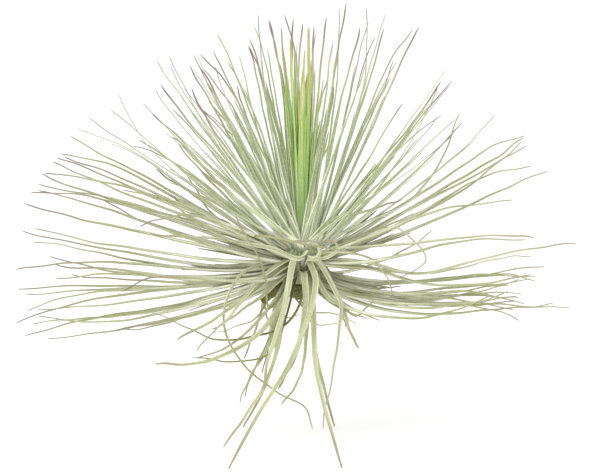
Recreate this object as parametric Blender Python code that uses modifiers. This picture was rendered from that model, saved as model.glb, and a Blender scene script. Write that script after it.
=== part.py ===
"""Tillandsia magnusiana, an air plant: a rosette of thread-tipped silvery leaves on a short woody stock.

The plant stands on the blunt tips of its longest hanging leaves. +Z is up, the floor is z = 0, the front is
-Y, and the origin lies under the middle of the plant's box. The shapes below are laid out round the axis of
the rosette and moved to AXIS at the last. A bearing is a compass angle in the floor plane, counted from +X
towards +Y, so 270 is the front. A rise is an angle above the horizontal. Angles are in degrees.
"""

import math
import random
from dataclasses import dataclass

import bmesh
import bpy
import numpy as np

MM = 0.001
SEED = 11
GOLDEN_ANGLE = 137.508
FRONT = 270.0

# Where the axis of the rosette stands from the middle of the plant's box
AXIS = (2.9 * MM, -1.3 * MM, 0.0)

# Heights on the axis: the crown, where the spreading leaves seem to meet, and what lies below and above it
CROWN_Z = 94 * MM
HEART_CORE_TOP_Z = CROWN_Z + 6 * MM
FAN_CORE_TOP_Z = CROWN_Z + 1 * MM
DIVIDE_Z = CROWN_Z - 5.5 * MM
LOWER_CORE_LOW_Z = CROWN_Z - 18 * MM

# The cores that the leaf bases wrap
HEART_CORE_RADIUS = 3.2 * MM
FAN_CORE_RADIUS = 8.2 * MM
LOWER_CORE_RADIUS = 10.0 * MM
STOCK_RADIUS = 5.2 * MM
SEAM = 0.3 * MM
CORE_SIDES = 14
STOCK_ROUNDNESS = 4
WELD = 0.01 * MM

# Where one node's leaves end and the next one's begin
DIVIDE_RISE = 29.0
HEART_WALL_RADIUS = 4.2 * MM
HEART_WALL_FLARE = 0.075
ROOT_SLAB_HALF = 8.0 * MM
ROOT_SLAB_TOP_Z = CROWN_Z - 15 * MM
ROOT_SLAB_FALL = 0.22
ROOT_SLAB_REACH = 42 * MM
LEAF_CLEARANCE = 0.2 * MM

# Leaf sections: the half width at the base comes with each leaf, and tapers to that of the tip, or to a share
# of itself where that is more
TIP_HALF_WIDTH = 0.36 * MM
TIP_SHARE = 0.3
TAPER = 1.35
SHEATH = 0.3 * MM
SHEATH_SHARE = 0.13
BASE_KEEL = 0.5 * MM
BASE_GROOVE = 0.12 * MM
BASE_EDGE = 0.9 * MM
TIP_KEEL = 0.33 * MM
TIP_GROOVE = 0.33 * MM

LEAF_LENGTH = 108
HEART_COUNT = 18
FRONT_AND_BACK_COUNT = 28
HANGING_COUNT = 3

FINE_STEPS = 96
STEEP_RISE = 44.0
MANY_POINTS = 7
STATIONS = {
    "heart": (0, 0.35, 0.7, 1),
    "steep": (0, 0.3, 1),
    "fan": (0, 0.2, 0.55, 1),
    "lower": (0, 0.12, 0.3, 0.6, 1),
    "few points": (0, 0.16, 0.34, 0.55, 0.78, 1),
    "many points": (0, 0.14, 0.3, 0.47, 0.65, 0.83, 1),
    "curl": (0, 0.15, 0.3, 0.42, 0.53, 0.64, 0.75, 0.87, 1),
}

# Leaves by where their tips are seen from the front:
# angle from +X through +Z, reach from the crown in mm, number of leaves
TOP_SPOKES = (
    (129, 104, 2), (125, 99, 2), (121, 94, 2), (118, 90, 3), (115, 93, 1), (111, 96, 2), (108, 89, 2),
    (104, 92, 2), (101, 84, 1), (99, 101, 2), (95, 101, 2), (92, 101, 1), (89, 99, 1), (85, 94, 2),
    (83, 102, 1), (79, 108, 2), (76, 102, 1), (74, 108, 2), (69, 106, 2), (63, 109, 2), (60, 94, 1),
    (54, 76, 1), (49, 97, 4), (46, 88, 2), (41, 83, 2), (37, 88, 1), (31, 100, 1), (120, 76, 2),
    (132, 84, 2), (142, 72, 2),
)
LEFT_SPOKES = (
    (136, 95, 2), (140, 89, 2), (147, 106, 2), (150, 107, 2), (155, 113, 2), (161, 112, 2), (164, 117, 3),
    (167, 120, 3), (174, 120, 2), (176, 124, 1), (179, 121, 2), (183, 112, 2), (189, 104, 2), (190, 126, 3),
    (193, 128, 2), (195, 124, 2), (200, 124, 2), (206, 93, 2), (145, 84, 2), (152, 72, 2), (166, 68, 2),
)
RIGHT_SPOKES = (
    (29, 104, 1), (26, 110, 2), (24, 106, 2), (18, 113, 1), (-6, 108, 2), (-9, 104, 3), (-11, 102, 3),
    (-8, 122, 1), (-14, 98, 3), (-15, 119, 1), (-16, 99, 3),
)

# The height angle and the distance in mm from which the tips are seen, and how steeply a leaf leaves the
# crown on either side, against the angle above the horizontal at which its tip is seen
SEEN_FROM = 8.0
SEEN_DISTANCE = 900
SEEN_ANGLES = (-25, -12, 0, 15, 30, 90)
LEFT_START_RISES = (-40, -28, -13, 18, 33, 88)
RIGHT_START_RISES = (-46, -44, -24, 8, 24, 88)

# Where the heart stands open to the front: leaves seen between these angles lean back, and the others of the
# fan come forward by no more than this share of how far they go to the side
HEART_WINDOW = (84, 101)
FORWARD_SHARE = 1.4

# Leaves with a shape of their own: half width at the base, then points from root to tip, in mm.
# The plant stands on the first four, the last point of each lying below the floor that cuts it.
FEET = (
    (1.7, ((1, -6, 85), (3, -15, 88.5), (3.5, -21, 87.5), (6, -25, 80), (3, -28, 66), (-6, -33, 44.5),
           (-19, -36.5, 24), (-32, -39.5, 0), (-35, -40.5, -6))),
    (1.7, ((2, -6, 82), (4, -14, 79), (5, -20, 66), (6, -26, 44), (11, -33, 22), (17.5, -38, 0),
           (19.5, -39.5, -6))),
    (1.7, ((-2, 5, 84), (-4, 13, 84), (-8, 21, 65), (-11, 30, 41), (-18.5, 36, 17.5), (-28, 40, 0),
           (-31, 41, -6))),
    (1.7, ((2, 6, 84), (4, 14, 84), (5, 21, 65), (6, 30, 41), (11, 37, 17.5), (15.5, 41, 0), (17, 42, -6))),
)
FAN_STRAYS = (
    (1.2, ((5, -3, 92), (8.5, -9, 97), (10, -11, 102), (14, -13, 106.5), (20, -15, 108.5), (30, -16, 110.5),
           (44, -16, 116))),
    (1.1, ((-6, -3, 92), (-11, -9, 98), (-20, -13, 103), (-34, -17, 112), (-58, -20, 124))),
    (1.2, ((5, -2, 93.5), (16, -6, 98.5), (30, -9, 105), (47, -10, 113.5), (56, -10, 124),
           (62.5, -10, 134.5), (67, -10, 145.5), (70, -10, 153))),
)
STRAY_LEAVES = (
    (0.75, ((-3, -4, 88), (-23, -18, 85), (-32, -24, 75), (-34, -26, 60), (-26, -27, 45), (-12, -27, 32),
            (1, -26, 23), (5, -25, 14))),
    (1.8, ((-2, -6, 86), (-7, -15, 88), (-17.5, -22, 81.5), (-24.5, -26, 74), (-31, -29, 67),
           (-46, -32, 50))),
    (1.8, ((-2, -6, 85), (-6, -14, 86), (-15.5, -20, 80), (-26, -24, 72), (-35, -26, 66), (-56, -27, 54))),
    (1.7, ((-2, -5, 82), (-8, -13, 81), (-17, -18, 73), (-29, -20, 65), (-41, -20, 57))),
    (1.8, ((-3, -4, 82), (-8, -16, 71), (-18, -20, 57), (-30, -22, 49), (-46, -23, 44), (-65, -20, 42))),
    (1.3, ((-4, -3, 82), (-12, -15, 70), (-24, -17, 57), (-36, -18, 48), (-47, -17, 44))),
    (0.5, ((-4, -3, 86), (-14, -14, 91), (-22, -25, 99), (-17, -32, 101.5), (-5, -35, 100), (4, -36, 98),
           (13, -36, 96), (22, -35, 94), (34, -32, 91))),
    (0.5, ((-3, -6, 81), (-14, -22, 68), (-16, -33, 82), (-20, -38, 96), (-29, -42, 111))),
    (1.1, ((4, -5, 81), (10, -14, 74), (16.5, -18, 69), (25, -19, 64.5), (31, -18, 70.5))),
    (1.7, ((3, -5, 82), (5, -14, 84), (7, -18, 79.5), (12, -20, 71.5), (17, -21, 68.5), (21.5, -22, 59),
           (25.5, -22, 50))),
    (2.0, ((2, -5, 85), (5, -14, 87.5), (8, -20, 87), (15, -26, 75), (17, -27, 68), (13, -30, 40),
           (9.5, -30, 14.5))),
    (1.3, ((1, -4, 80), (2.5, -12, 74), (2.5, -15, 62), (-0.5, -16, 38), (-5, -16, 27), (-9, -16, 23))),
    (2.0, ((-2, -5, 84), (-3, -14, 87.5), (-4, -20, 87.5), (-7, -26, 72.5), (-13, -28, 50), (-17, -29, 34))),
    (2.0, ((0, -6, 80), (0.5, -14, 83), (1, -20, 81), (1.5, -23, 70), (-3, -24, 48), (-10, -24, 32.5))),
    (1.4, ((-3, -6, 81), (-6, -14, 77), (-9, -19, 61), (-13, -23, 42), (-24, -26, 21.5), (-34, -28, 7))),
    (1.3, ((-4, -4, 80), (-8, -12, 70), (-13.5, -16, 53), (-22.5, -17, 36), (-27.5, -17, 24.5))),
    (1.2, ((-4, 4, 82), (-10, 12, 66), (-15, 14, 48), (-27, 16, 20))),
    (1.3, ((5, -2, 85), (20, -9, 93), (36, -13, 102), (44, -14, 102), (55, -15, 88), (44, -15, 80))),
    (1.4, ((3, -6, 87), (13, -17, 92), (28, -22, 91), (36, -24, 84), (40, -24, 73))),
    (1.7, ((5, -3, 88), (16, -8, 92), (30.6, -13, 94.2), (60, -15, 97), (94.5, -16, 100.3),
           (103.5, -16, 98.9))),
    (1.4, ((5, -3, 86), (16, -8, 87.5), (30.6, -12, 86.4), (51.8, -14, 82.1), (80, -15, 88.8),
           (115.8, -16, 96), (122.9, -16, 96.6))),
    (1.4, ((5, -3, 85), (17, -8, 84.2), (32.9, -12, 83.4), (53, -15, 78), (75.6, -15, 77),
           (102.6, -15, 83))),
    (1.4, ((5, -2, 85), (18, -6, 85.5), (32, -8, 83.5), (45, -9, 81.8), (59, -10, 82.2),
           (87.3, -11, 88.1), (103, -11, 90.6))),
    (1.3, ((-4, -6, 85), (-8, -12, 88.5), (-16, -17, 94), (-32, -24, 103.5), (-50, -32, 113))),
    (0.5, ((2, -6, 82), (-1, -14, 68), (-8, -17, 59), (-19, -18, 55), (-40, -19, 54), (-66, -20, 66))),
    (0.5, ((-2, -5, 82), (-6, -14, 66), (-11, -17, 52), (-18, -18, 45), (-34, -19, 43), (-49, -20, 47))),
)

# Leaves that come forward and curl round, seen face on: tier, half width at the base, whether the face looks
# right (1) or left (-1) at the root, then points
CURLS = (
    ("lower", 1.8, 1, ((0, -5, 85), (0, -12, 87), (1, -20, 92), (2, -24, 92.5), (-1, -26, 91),
                       (-5.5, -27, 92.3), (-13, -28, 96), (-29, -31, 99), (-66, -36, 104))),
    ("lower", 1.8, -1, ((1, -6, 84), (2, -14, 87.5), (2.5, -23, 90.5), (2.7, -30, 91.8), (5.9, -32, 91.7),
                        (7.7, -32.5, 94), (7.2, -32.5, 97.1), (5, -32.5, 98.9), (1.4, -32.5, 99.6),
                        (-4, -33, 100), (-8.6, -33.5, 100.3))),
    ("lower", 1.4, -1, ((3, -6, 84), (4.5, -14, 87.5), (6, -23, 90), (8.5, -30.5, 91.6), (12.2, -33, 93.1),
                        (15.3, -33.5, 95.1), (15.8, -33.5, 97.8), (13.5, -33.5, 99.5), (10.4, -33.5, 99.1),
                        (7.2, -33.5, 97.7))),
    ("fan", 1.5, 1, ((-1, -4, 91.5), (0.5, -10, 93.4), (0.5, -16, 95), (-2.3, -18, 97), (-5.4, -18.5, 99),
                     (-9.9, -19, 102.4), (-14.4, -20, 105.6), (-21, -21, 110.8), (-45, -26, 129))),
)

# The woody stock below the leaves, and the wiry roots that leave it: points in mm, from the top or the root
STOCK_POINTS = ((0, 0, 75.7), (0, 0, 73.2), (-6, 0.5, 72.7), (-12, 1, 72.5), (-18, 1.5, 67))
STOCK_RADII = (5.2, 3.2, 2.2, 1.7, 1.5)
ROOT_HALF_WIDTH = 0.42 * MM
WIRY_ROOTS = (
    ((-17, 1, 69), (-16, 1, 60), (-13.5, 1, 55), (-13.5, 1, 49), (-16, 1, 38)),
    ((-12, 1, 72.5), (-11, 1, 63), (-6, 0, 60), (-1, -2, 62)),
    ((-3, 0, 74), (1, -2, 65), (5, -3, 58), (18, -4, 57.5)),
    ((-14, 1.5, 72), (-20, 3, 60), (-30, 4, 55), (-40, 4, 52)),
    ((-6, 1, 73), (2, 3, 63), (14, 4, 61), (25, 3, 57)),
)


@dataclass
class Leaf:
    """One leaf, from its root in the core to its tip. Points, in mm, give it a shape of its own."""

    tier: str
    half_width: float
    root_bearing: float = 0.0
    bearing: float = 0.0
    root_radius: float = 7.0 * MM
    root_z: float = 0.0
    length: float = 0.0
    rise: float = 0.0
    start_rise: float = 0.0
    bend: float = 0.3
    tip_rise: float = 0.0
    tip_turn: float = 0.0
    wave: float = 0.0
    phase: float = 0.0
    points: tuple = ()
    face_side: int = 0
    foot: bool = False


def heading(bearing, rise):
    """Unit vectors for bearings and rises."""
    b = np.radians(bearing)
    e = np.radians(rise)
    return np.stack([np.cos(e) * np.cos(b), np.cos(e) * np.sin(b), np.sin(e)], -1)


def unit(vectors):
    return vectors / np.linalg.norm(vectors, axis=1)[:, None]


def eased(x):
    x = np.clip(x, 0, 1)
    return x * x * (3 - 2 * x)


def settled(s, bend):
    """Rises from below zero at the root and levels off, with a mean of 0 over the leaf."""
    fall = np.exp(-s / bend)
    mean = bend * (1 - math.exp(-1 / bend))
    return (mean - fall) / (1 - mean)


def half_width_at(leaf, s):
    tip = max(TIP_HALF_WIDTH, TIP_SHARE * leaf.half_width)
    blade = tip + (leaf.half_width - tip) * (1 - s) ** TAPER
    sheath = 0 if leaf.tier == "heart" else SHEATH
    return blade + sheath * np.clip(1 - s / SHEATH_SHARE, 0, 1) ** 2


def keep_to_side(points, room, tier):
    """Moves the points of a leaf off the surfaces that part its tier from its neighbours."""
    x, y, z = points.T.copy()
    r = np.maximum(np.hypot(x, y), 1e-9)
    if tier in ("heart", "fan"):
        wall = HEART_WALL_RADIUS + HEART_WALL_FLARE * np.maximum(0, z - FAN_CORE_TOP_Z)
        if tier == "heart":
            kept = np.minimum(r, np.maximum(wall - room, 0))
        else:
            kept = np.where(z > FAN_CORE_TOP_Z - room, np.maximum(r, wall + room), r)
        x, y, r = x * kept / r, y * kept / r, kept
    if tier in ("fan", "lower"):
        slope = math.radians(DIVIDE_RISE)
        divide = DIVIDE_Z + np.maximum(0, r - FAN_CORE_RADIUS) * math.tan(slope)
        lift = room / math.cos(slope)
        z = np.maximum(z, divide + lift) if tier == "fan" else np.minimum(z, divide - lift)
    if tier == "lower":
        side = -1.0 if y[-1] < 0 else 1.0
        low = eased((ROOT_SLAB_TOP_Z + 2 * MM - ROOT_SLAB_FALL * np.abs(x) - z) / (6 * MM))
        near = eased((ROOT_SLAB_REACH + 20 * MM - np.abs(x)) / (20 * MM))
        pushed = side * np.maximum(side * y, ROOT_SLAB_HALF + room)
        y = y + (pushed - y) * low * near
    return np.stack([x, y, z], -1)


def through(points, count):
    """Even steps along a smooth curve through the given points."""
    p = np.array(points, float)
    p = np.vstack([2 * p[0] - p[1], p, 2 * p[-1] - p[-2]])
    t = np.linspace(0, 1, 24, endpoint=False)[:, None]
    curve = []
    for before, start, end, after in zip(p, p[1:], p[2:], p[3:]):
        linear = (end - before) * t
        square = (2 * before - 5 * start + 4 * end - after) * t**2
        cube = (3 * start - before - 3 * end + after) * t**3
        curve.append(start + (linear + square + cube) / 2)
    curve = np.vstack(curve + [p[-2:-1]])
    run = np.concatenate([[0], np.cumsum(np.linalg.norm(np.diff(curve, axis=0), axis=1))])
    return sampled(curve, run, np.linspace(0, run[-1], count))


def sampled(values, at, wanted):
    return np.stack([np.interp(wanted, at, values[:, k]) for k in range(3)], -1)


def carried_normals(along, first):
    """Normals that start as near to the first as they can and are carried along the curve without a twist."""
    normals = [np.array(first, float)]
    for direction in along:
        normal = normals[-1] - direction * (direction @ normals[-1])
        normals.append(normal / np.linalg.norm(normal))
    return np.array(normals[1:])


def course(leaf):
    """The leaf's centreline in even steps, and the normal of its inner face at each."""
    s = np.linspace(0, 1, FINE_STEPS + 1)
    room = half_width_at(leaf, s) + LEAF_CLEARANCE
    if leaf.points:
        points = keep_to_side(through(leaf.points, len(s)) * MM, room, leaf.tier)
        first = (leaf.face_side, 0, 0) if leaf.face_side else (0, 0, 1)
        return points, carried_normals(unit(np.gradient(points, axis=0)), first)
    tip = eased((s - 0.55) / 0.45)
    rise = leaf.rise + (leaf.rise - leaf.start_rise) * settled(s, leaf.bend)
    rise += leaf.tip_rise * tip + leaf.wave * np.sin(5 * s + leaf.phase) * s
    turn = leaf.bearing - leaf.root_bearing
    bearing = leaf.bearing + turn * settled(s, leaf.bend) + leaf.tip_turn * tip
    along = heading(bearing, rise)
    steps = (along[1:] + along[:-1]) / 2 * (leaf.length / FINE_STEPS)
    root = heading(leaf.root_bearing, 0) * leaf.root_radius
    root[2] = leaf.root_z
    points = root + np.vstack([np.zeros(3), np.cumsum(steps, 0)])
    return keep_to_side(points, room, leaf.tier), heading(bearing, rise + 90)


def on_course(leaf, stations):
    """Centres, directions, face normals, cross directions and half widths at the stations."""
    points, normals = course(leaf)
    fine = np.linspace(0, 1, len(points))
    t = np.array(stations, float)
    if leaf.foot:
        below = int(np.argmax(points[:, 2] < 0))
        high, low = points[below - 1, 2], points[below, 2]
        t = t * (fine[below - 1] + (fine[below] - fine[below - 1]) * high / (high - low))
    along = unit(sampled(np.gradient(points, axis=0), fine, t))
    across = unit(np.cross(along, sampled(normals, fine, t)))
    widths = half_width_at(leaf, np.array(stations))
    return sampled(points, fine, t), along, np.cross(across, along), across, widths


def leaf_section(s, half_width):
    """Left edge, keel, right edge and groove of the section, as (across, out of the inner face)."""
    near = (1 - s) ** TAPER
    edge = BASE_EDGE * near
    keel = -(TIP_KEEL + (BASE_KEEL - TIP_KEEL) * near)
    groove = TIP_GROOVE + (BASE_GROOVE - TIP_GROOVE) * near
    return ((-half_width, edge), (0, keel), (half_width, edge), (0, groove))


def lofted(name, rings):
    """A closed mesh object through rings of points, all with the same number of points."""
    mesh = bpy.data.meshes.new(name)
    form = bmesh.new()
    loops = [[form.verts.new(np.add(p, AXIS)) for p in ring] for ring in rings]
    sides = len(loops[0])
    for low, high in zip(loops, loops[1:]):
        for k in range(sides):
            n = (k + 1) % sides
            form.faces.new((low[k], low[n], high[n], high[k]))
    form.faces.new(loops[0][::-1])
    form.faces.new(loops[-1])
    bmesh.ops.triangulate(form, faces=form.faces)
    bmesh.ops.recalc_face_normals(form, faces=form.faces)
    form.to_mesh(mesh)
    form.free()
    return bpy.data.objects.new(name, mesh)


def stations_of(leaf):
    """Where along the leaf its sections lie: fewer on leaves that are nearly straight."""
    if leaf.face_side:
        return STATIONS["curl"]
    if leaf.points:
        return STATIONS["many points" if len(leaf.points) >= MANY_POINTS else "few points"]
    if leaf.tier == "fan" and leaf.rise > STEEP_RISE:
        return STATIONS["steep"]
    return STATIONS[leaf.tier]


def leaf_solid(leaf, number):
    """One leaf as a closed loft, from its channelled base to its thread-like tip."""
    stations = stations_of(leaf)
    centre, along, up, across, widths = on_course(leaf, stations)
    rings = []
    for k, s in enumerate(stations):
        section = leaf_section(s, widths[k])
        rings.append([centre[k] + across[k] * a + up[k] * b for a, b in section])
    if leaf.foot:
        rings[-1] = [p - along[-1] * (p[2] / along[-1][2]) for p in rings[-1]]
    return lofted(f"leaf_{number}", rings)


def heart_leaves(rng):
    """The youngest leaves, upright in a tight bunch on the axis."""
    leaves = []
    for i in range(HEART_COUNT):
        out = math.sqrt((i + 0.5) / HEART_COUNT)
        rise = 89.6 - 4.4 * out + rng.gauss(0, 0.5)
        leaves.append(
            Leaf(
                tier="heart",
                half_width=1.05 * MM,
                root_bearing=i * GOLDEN_ANGLE,
                bearing=i * GOLDEN_ANGLE,
                root_radius=2.3 * MM * out,
                root_z=CROWN_Z + 3 * MM,
                length=(90 + rng.uniform(-26, 6)) * MM,
                rise=rise,
                start_rise=rise,
                tip_rise=rng.gauss(0, 2),
            )
        )
    return leaves


def spreading_leaf(rng, angle, reach, depth):
    """A leaf of the rosette by where its tip is seen from the front, and how far back its tip lies."""
    reach = reach * (1 + depth / SEEN_DISTANCE)
    x = reach * math.cos(math.radians(angle))
    up = reach * math.sin(math.radians(angle))
    z = (up - depth * math.sin(math.radians(SEEN_FROM))) / math.cos(math.radians(SEEN_FROM))
    start_rises = LEFT_START_RISES if x < 0 else RIGHT_START_RISES
    start_rise = float(np.interp(math.degrees(math.atan2(up, abs(x))), SEEN_ANGLES, start_rises))
    flat = math.hypot(x, depth)
    steep = max(0.0, (math.degrees(math.atan2(z, flat)) - 30) / 60)
    tier = "fan" if z > flat * math.tan(math.radians(DIVIDE_RISE)) else "lower"
    drop = 3.5 - 2.5 * steep if tier == "fan" else 8.5 - 0.11 * start_rise + rng.uniform(-1.5, 1.5)
    root_radius = 7 - 3 * steep
    out = max(flat - root_radius, 0.5)
    bearing = math.degrees(math.atan2(depth, x))
    rise = math.degrees(math.atan2(z + drop, out))
    return Leaf(
        tier=tier,
        half_width=(1.2 - 0.15 * steep) * MM,
        root_bearing=bearing + rng.gauss(0, 7) * (1 - steep),
        bearing=bearing,
        root_radius=root_radius * MM,
        root_z=CROWN_Z - drop * MM,
        length=math.hypot(out, z + drop) * (1.03 - 0.05 * steep) * MM,
        rise=rise,
        start_rise=start_rise + rng.gauss(0, 8) * (1 - steep),
        bend=rng.uniform(0.2, 0.36),
        tip_rise=rng.gauss(-1, 8) * (1.5 - 0.5 * steep),
        tip_turn=rng.gauss(0, 12),
        wave=rng.gauss(0, 2.5),
        phase=rng.uniform(0, 6),
    )


def spoke_leaves(rng):
    """The leaves whose tips make the outline seen from the front."""
    leaves = []
    for angle, reach, count in TOP_SPOKES + LEFT_SPOKES + RIGHT_SPOKES:
        for _ in range(count):
            deepest = math.sqrt(max(0.0, LEAF_LENGTH**2 - reach**2))
            depth = rng.choice((-1, 1)) * deepest * rng.uniform(0.5, 1) + rng.gauss(0, 16)
            if HEART_WINDOW[0] < angle < HEART_WINDOW[1]:
                depth = abs(depth) + 12
            elif DIVIDE_RISE < angle < 180 - DIVIDE_RISE:
                depth = max(depth, -FORWARD_SHARE * abs(reach * math.cos(math.radians(angle))))
            leaves.append(spreading_leaf(rng, angle + rng.gauss(0, 1.5), reach + rng.gauss(0, 2), depth))
    return leaves


def front_and_back_leaves(rng):
    """The leaves that come forward or go back, those in front sweeping to the sides as they do."""
    leaves = []
    for i in range(FRONT_AND_BACK_COUNT):
        share = (i + 0.5) / FRONT_AND_BACK_COUNT
        forward = i % 2 == 0
        leaf = spreading_leaf(rng, 74 - 88 * share + rng.gauss(0, 3), 98 + 8 * share + rng.gauss(0, 5), 0)
        turn = (i * GOLDEN_ANGLE / 180) % 1 * 2 - 1
        nearest = 42 if forward else 8
        away = math.copysign(nearest + 30 * abs(turn), turn)
        leaf.bearing = (FRONT if forward else FRONT - 180) + away + rng.gauss(0, 4)
        leaf.root_bearing = leaf.bearing - away * (0.85 if leaf.tier == "fan" else 0.4)
        leaf.tip_rise -= 10 if forward and leaf.tier == "lower" else 0
        leaves.append(leaf)
    return leaves


def hanging_leaves(rng):
    """The oldest leaves at the sides and the back, which arch over and hang."""
    leaves = []
    for i in range(HANGING_COUNT):
        age = (i + 0.5) / HANGING_COUNT
        bearing = 35 + 165 * ((i * GOLDEN_ANGLE / 180) % 1) + rng.gauss(0, 5)
        leaves.append(
            Leaf(
                tier="lower",
                half_width=1.6 * MM,
                root_bearing=bearing,
                bearing=bearing + rng.gauss(0, 8),
                root_z=DIVIDE_Z - (4.5 + 4.5 * age) * MM,
                length=(60 - 24 * rng.random()) * MM,
                rise=-56 - 16 * age + rng.gauss(0, 6),
                start_rise=14 - 40 * age,
                bend=0.14,
                tip_rise=rng.gauss(0, 9),
                tip_turn=rng.gauss(0, 20),
                wave=rng.gauss(0, 4),
                phase=rng.uniform(0, 6),
            )
        )
    return leaves


def leaves_through(shapes, tier="lower", foot=False):
    return [Leaf(tier=tier, half_width=width * MM, points=points, foot=foot) for width, points in shapes]


def curled_leaves():
    return [
        Leaf(tier=tier, half_width=width * MM, face_side=side, points=points)
        for tier, width, side, points in CURLS
    ]


def grown_leaves():
    rng = random.Random(SEED)
    leaves = heart_leaves(rng) + spoke_leaves(rng) + front_and_back_leaves(rng) + hanging_leaves(rng)
    leaves += leaves_through(FAN_STRAYS, tier="fan") + leaves_through(STRAY_LEAVES) + curled_leaves()
    return leaves + leaves_through(FEET, foot=True)


def tube(name, points, radii, roundness=0):
    """A closed round tube along a curve, with a radius for each point. It has 4 sides, and 2 more for each
    step of roundness."""
    curve = bpy.data.curves.new(name, "CURVE")
    curve.dimensions = "3D"
    curve.bevel_depth = MM
    curve.bevel_resolution = roundness
    curve.use_fill_caps = True
    spline = curve.splines.new("POLY")
    spline.points.add(len(points) - 1)
    for point, centre, radius in zip(spline.points, points, radii):
        point.co = (*(np.array(centre) + AXIS), 1)
        point.radius = radius / MM
    holder = bpy.data.objects.new(name, curve)
    mesh = bpy.data.meshes.new_from_object(holder)
    bpy.data.objects.remove(holder)
    form = bmesh.new()
    form.from_mesh(mesh)
    bmesh.ops.remove_doubles(form, verts=form.verts, dist=WELD)
    bmesh.ops.triangulate(form, faces=form.faces)
    bmesh.ops.recalc_face_normals(form, faces=form.faces)
    form.to_mesh(mesh)
    form.free()
    return bpy.data.objects.new(name, mesh)


def stock_solid():
    """The stock, with a flat top that leaves a seam under the leaves."""
    return tube("stock", np.array(STOCK_POINTS) * MM, np.array(STOCK_RADII) * MM, STOCK_ROUNDNESS)


def root_solids():
    roots = []
    for k, path in enumerate(WIRY_ROOTS):
        bend = through(path, 2 * len(path)) * MM
        radii = ROOT_HALF_WIDTH * np.linspace(1.3, 0.9, len(bend))
        roots.append(tube(f"root_{k}", bend, radii))
    return roots


def turned(name, profile):
    """A closed solid turned round the rosette's axis. The profile is (radius, z) from its top to its foot."""
    closed = [(0, profile[0][1]), *profile, (0, profile[-1][1])]
    mesh = bpy.data.meshes.new(name)
    mesh.from_pydata([(r, 0, z) for r, z in closed], [(k, k + 1) for k in range(len(closed) - 1)], [])
    core = bpy.data.objects.new(name, mesh)
    core.location = AXIS
    screw = core.modifiers.new("turn", "SCREW")
    screw.steps = CORE_SIDES
    screw.render_steps = CORE_SIDES
    screw.use_merge_vertices = True
    screw.merge_threshold = WELD
    return core


def heart_core():
    wide, top, low = HEART_CORE_RADIUS, HEART_CORE_TOP_Z, FAN_CORE_TOP_Z + SEAM
    return turned("heart", ((wide * 0.6, top), (wide, top - 2 * MM), (wide, low)))


def fan_core():
    wide, top, low = FAN_CORE_RADIUS, FAN_CORE_TOP_Z, DIVIDE_Z + SEAM / 2
    return turned("fan", ((HEART_CORE_RADIUS + 1 * MM, top), (wide, low + 2 * MM), (wide, low)))


def lower_core():
    top, low = DIVIDE_Z - SEAM / 2, LOWER_CORE_LOW_Z
    return turned("lower", ((FAN_CORE_RADIUS, top), (LOWER_CORE_RADIUS, top - 4 * MM), (STOCK_RADIUS, low)))


def applied(obj):
    """The object with its modifiers made part of its mesh, out of every collection."""
    graph = bpy.context.evaluated_depsgraph_get()
    mesh = bpy.data.meshes.new_from_object(obj.evaluated_get(graph))
    mesh.transform(obj.matrix_world)
    name = obj.name
    bpy.data.objects.remove(obj)
    return bpy.data.objects.new(name, mesh)


def keep_largest_shell(mesh):
    """Drops loose scraps and the walls of sealed hollows, which are shells of their own."""
    form = bmesh.new()
    form.from_mesh(mesh)
    unseen = set(form.verts)
    shells = []
    while unseen:
        first = unseen.pop()
        shell, edge = {first}, [first]
        while edge:
            vert = edge.pop()
            linked = {link.other_vert(vert) for link in vert.link_edges} & unseen
            unseen -= linked
            shell |= linked
            edge.extend(linked)
        shells.append(shell)
    shells.sort(key=len)
    loose = [vert for shell in shells[:-1] for vert in shell]
    bmesh.ops.delete(form, geom=loose, context="VERTS")
    form.to_mesh(mesh)
    form.free()


def fused(name, core, pieces, material, plant):
    """One solid of a core and the pieces rooted in it, by a Boolean union on their collection."""
    group = bpy.data.collections.new(name + "_pieces")
    bpy.context.scene.collection.children.link(group)
    for piece in pieces:
        group.objects.link(piece)
    plant.objects.link(core)
    union = core.modifiers.new("fuse", "BOOLEAN")
    union.operation = "UNION"
    union.operand_type = "COLLECTION"
    union.collection = group
    union.solver = "MANIFOLD"
    bpy.context.view_layer.update()
    solid = applied(core)
    for piece in pieces:
        bpy.data.objects.remove(piece)
    bpy.data.collections.remove(group)
    keep_largest_shell(solid.data)
    solid.name = name
    solid.data.materials.clear()
    solid.data.materials.append(material)
    solid.data.shade_smooth()
    solid.data.set_sharp_from_angle(angle=math.radians(50))
    plant.objects.link(solid)


def plant_material(name, colour, roughness):
    material = bpy.data.materials.new(name)
    material.use_nodes = True
    shader = material.node_tree.nodes["Principled BSDF"]
    shader.inputs["Base Color"].default_value = (*colour, 1)
    shader.inputs["Roughness"].default_value = roughness
    shader.inputs["Metallic"].default_value = 0
    return material


def clear_scene():
    for obj in list(bpy.data.objects):
        bpy.data.objects.remove(obj)


def main():
    clear_scene()
    plant = bpy.data.collections.new("tillandsia_magnusiana")
    bpy.context.scene.collection.children.link(plant)
    green = plant_material("green_leaf", (0.3, 0.45, 0.14), 0.7)
    silver = plant_material("silver_leaf", (0.47, 0.52, 0.36), 0.8)
    pale = plant_material("pale_leaf", (0.44, 0.48, 0.32), 0.8)
    bark = plant_material("bark", (0.13, 0.11, 0.08), 0.9)
    solids = {"heart": [], "fan": [], "lower": []}
    for number, leaf in enumerate(grown_leaves()):
        solids[leaf.tier].append(leaf_solid(leaf, number))
    fused("heart_leaves", heart_core(), solids["heart"], green, plant)
    fused("upper_leaves", fan_core(), solids["fan"], silver, plant)
    fused("lower_leaves", lower_core(), solids["lower"], pale, plant)
    fused("stock_roots", stock_solid(), root_solids(), bark, plant)


main()
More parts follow.
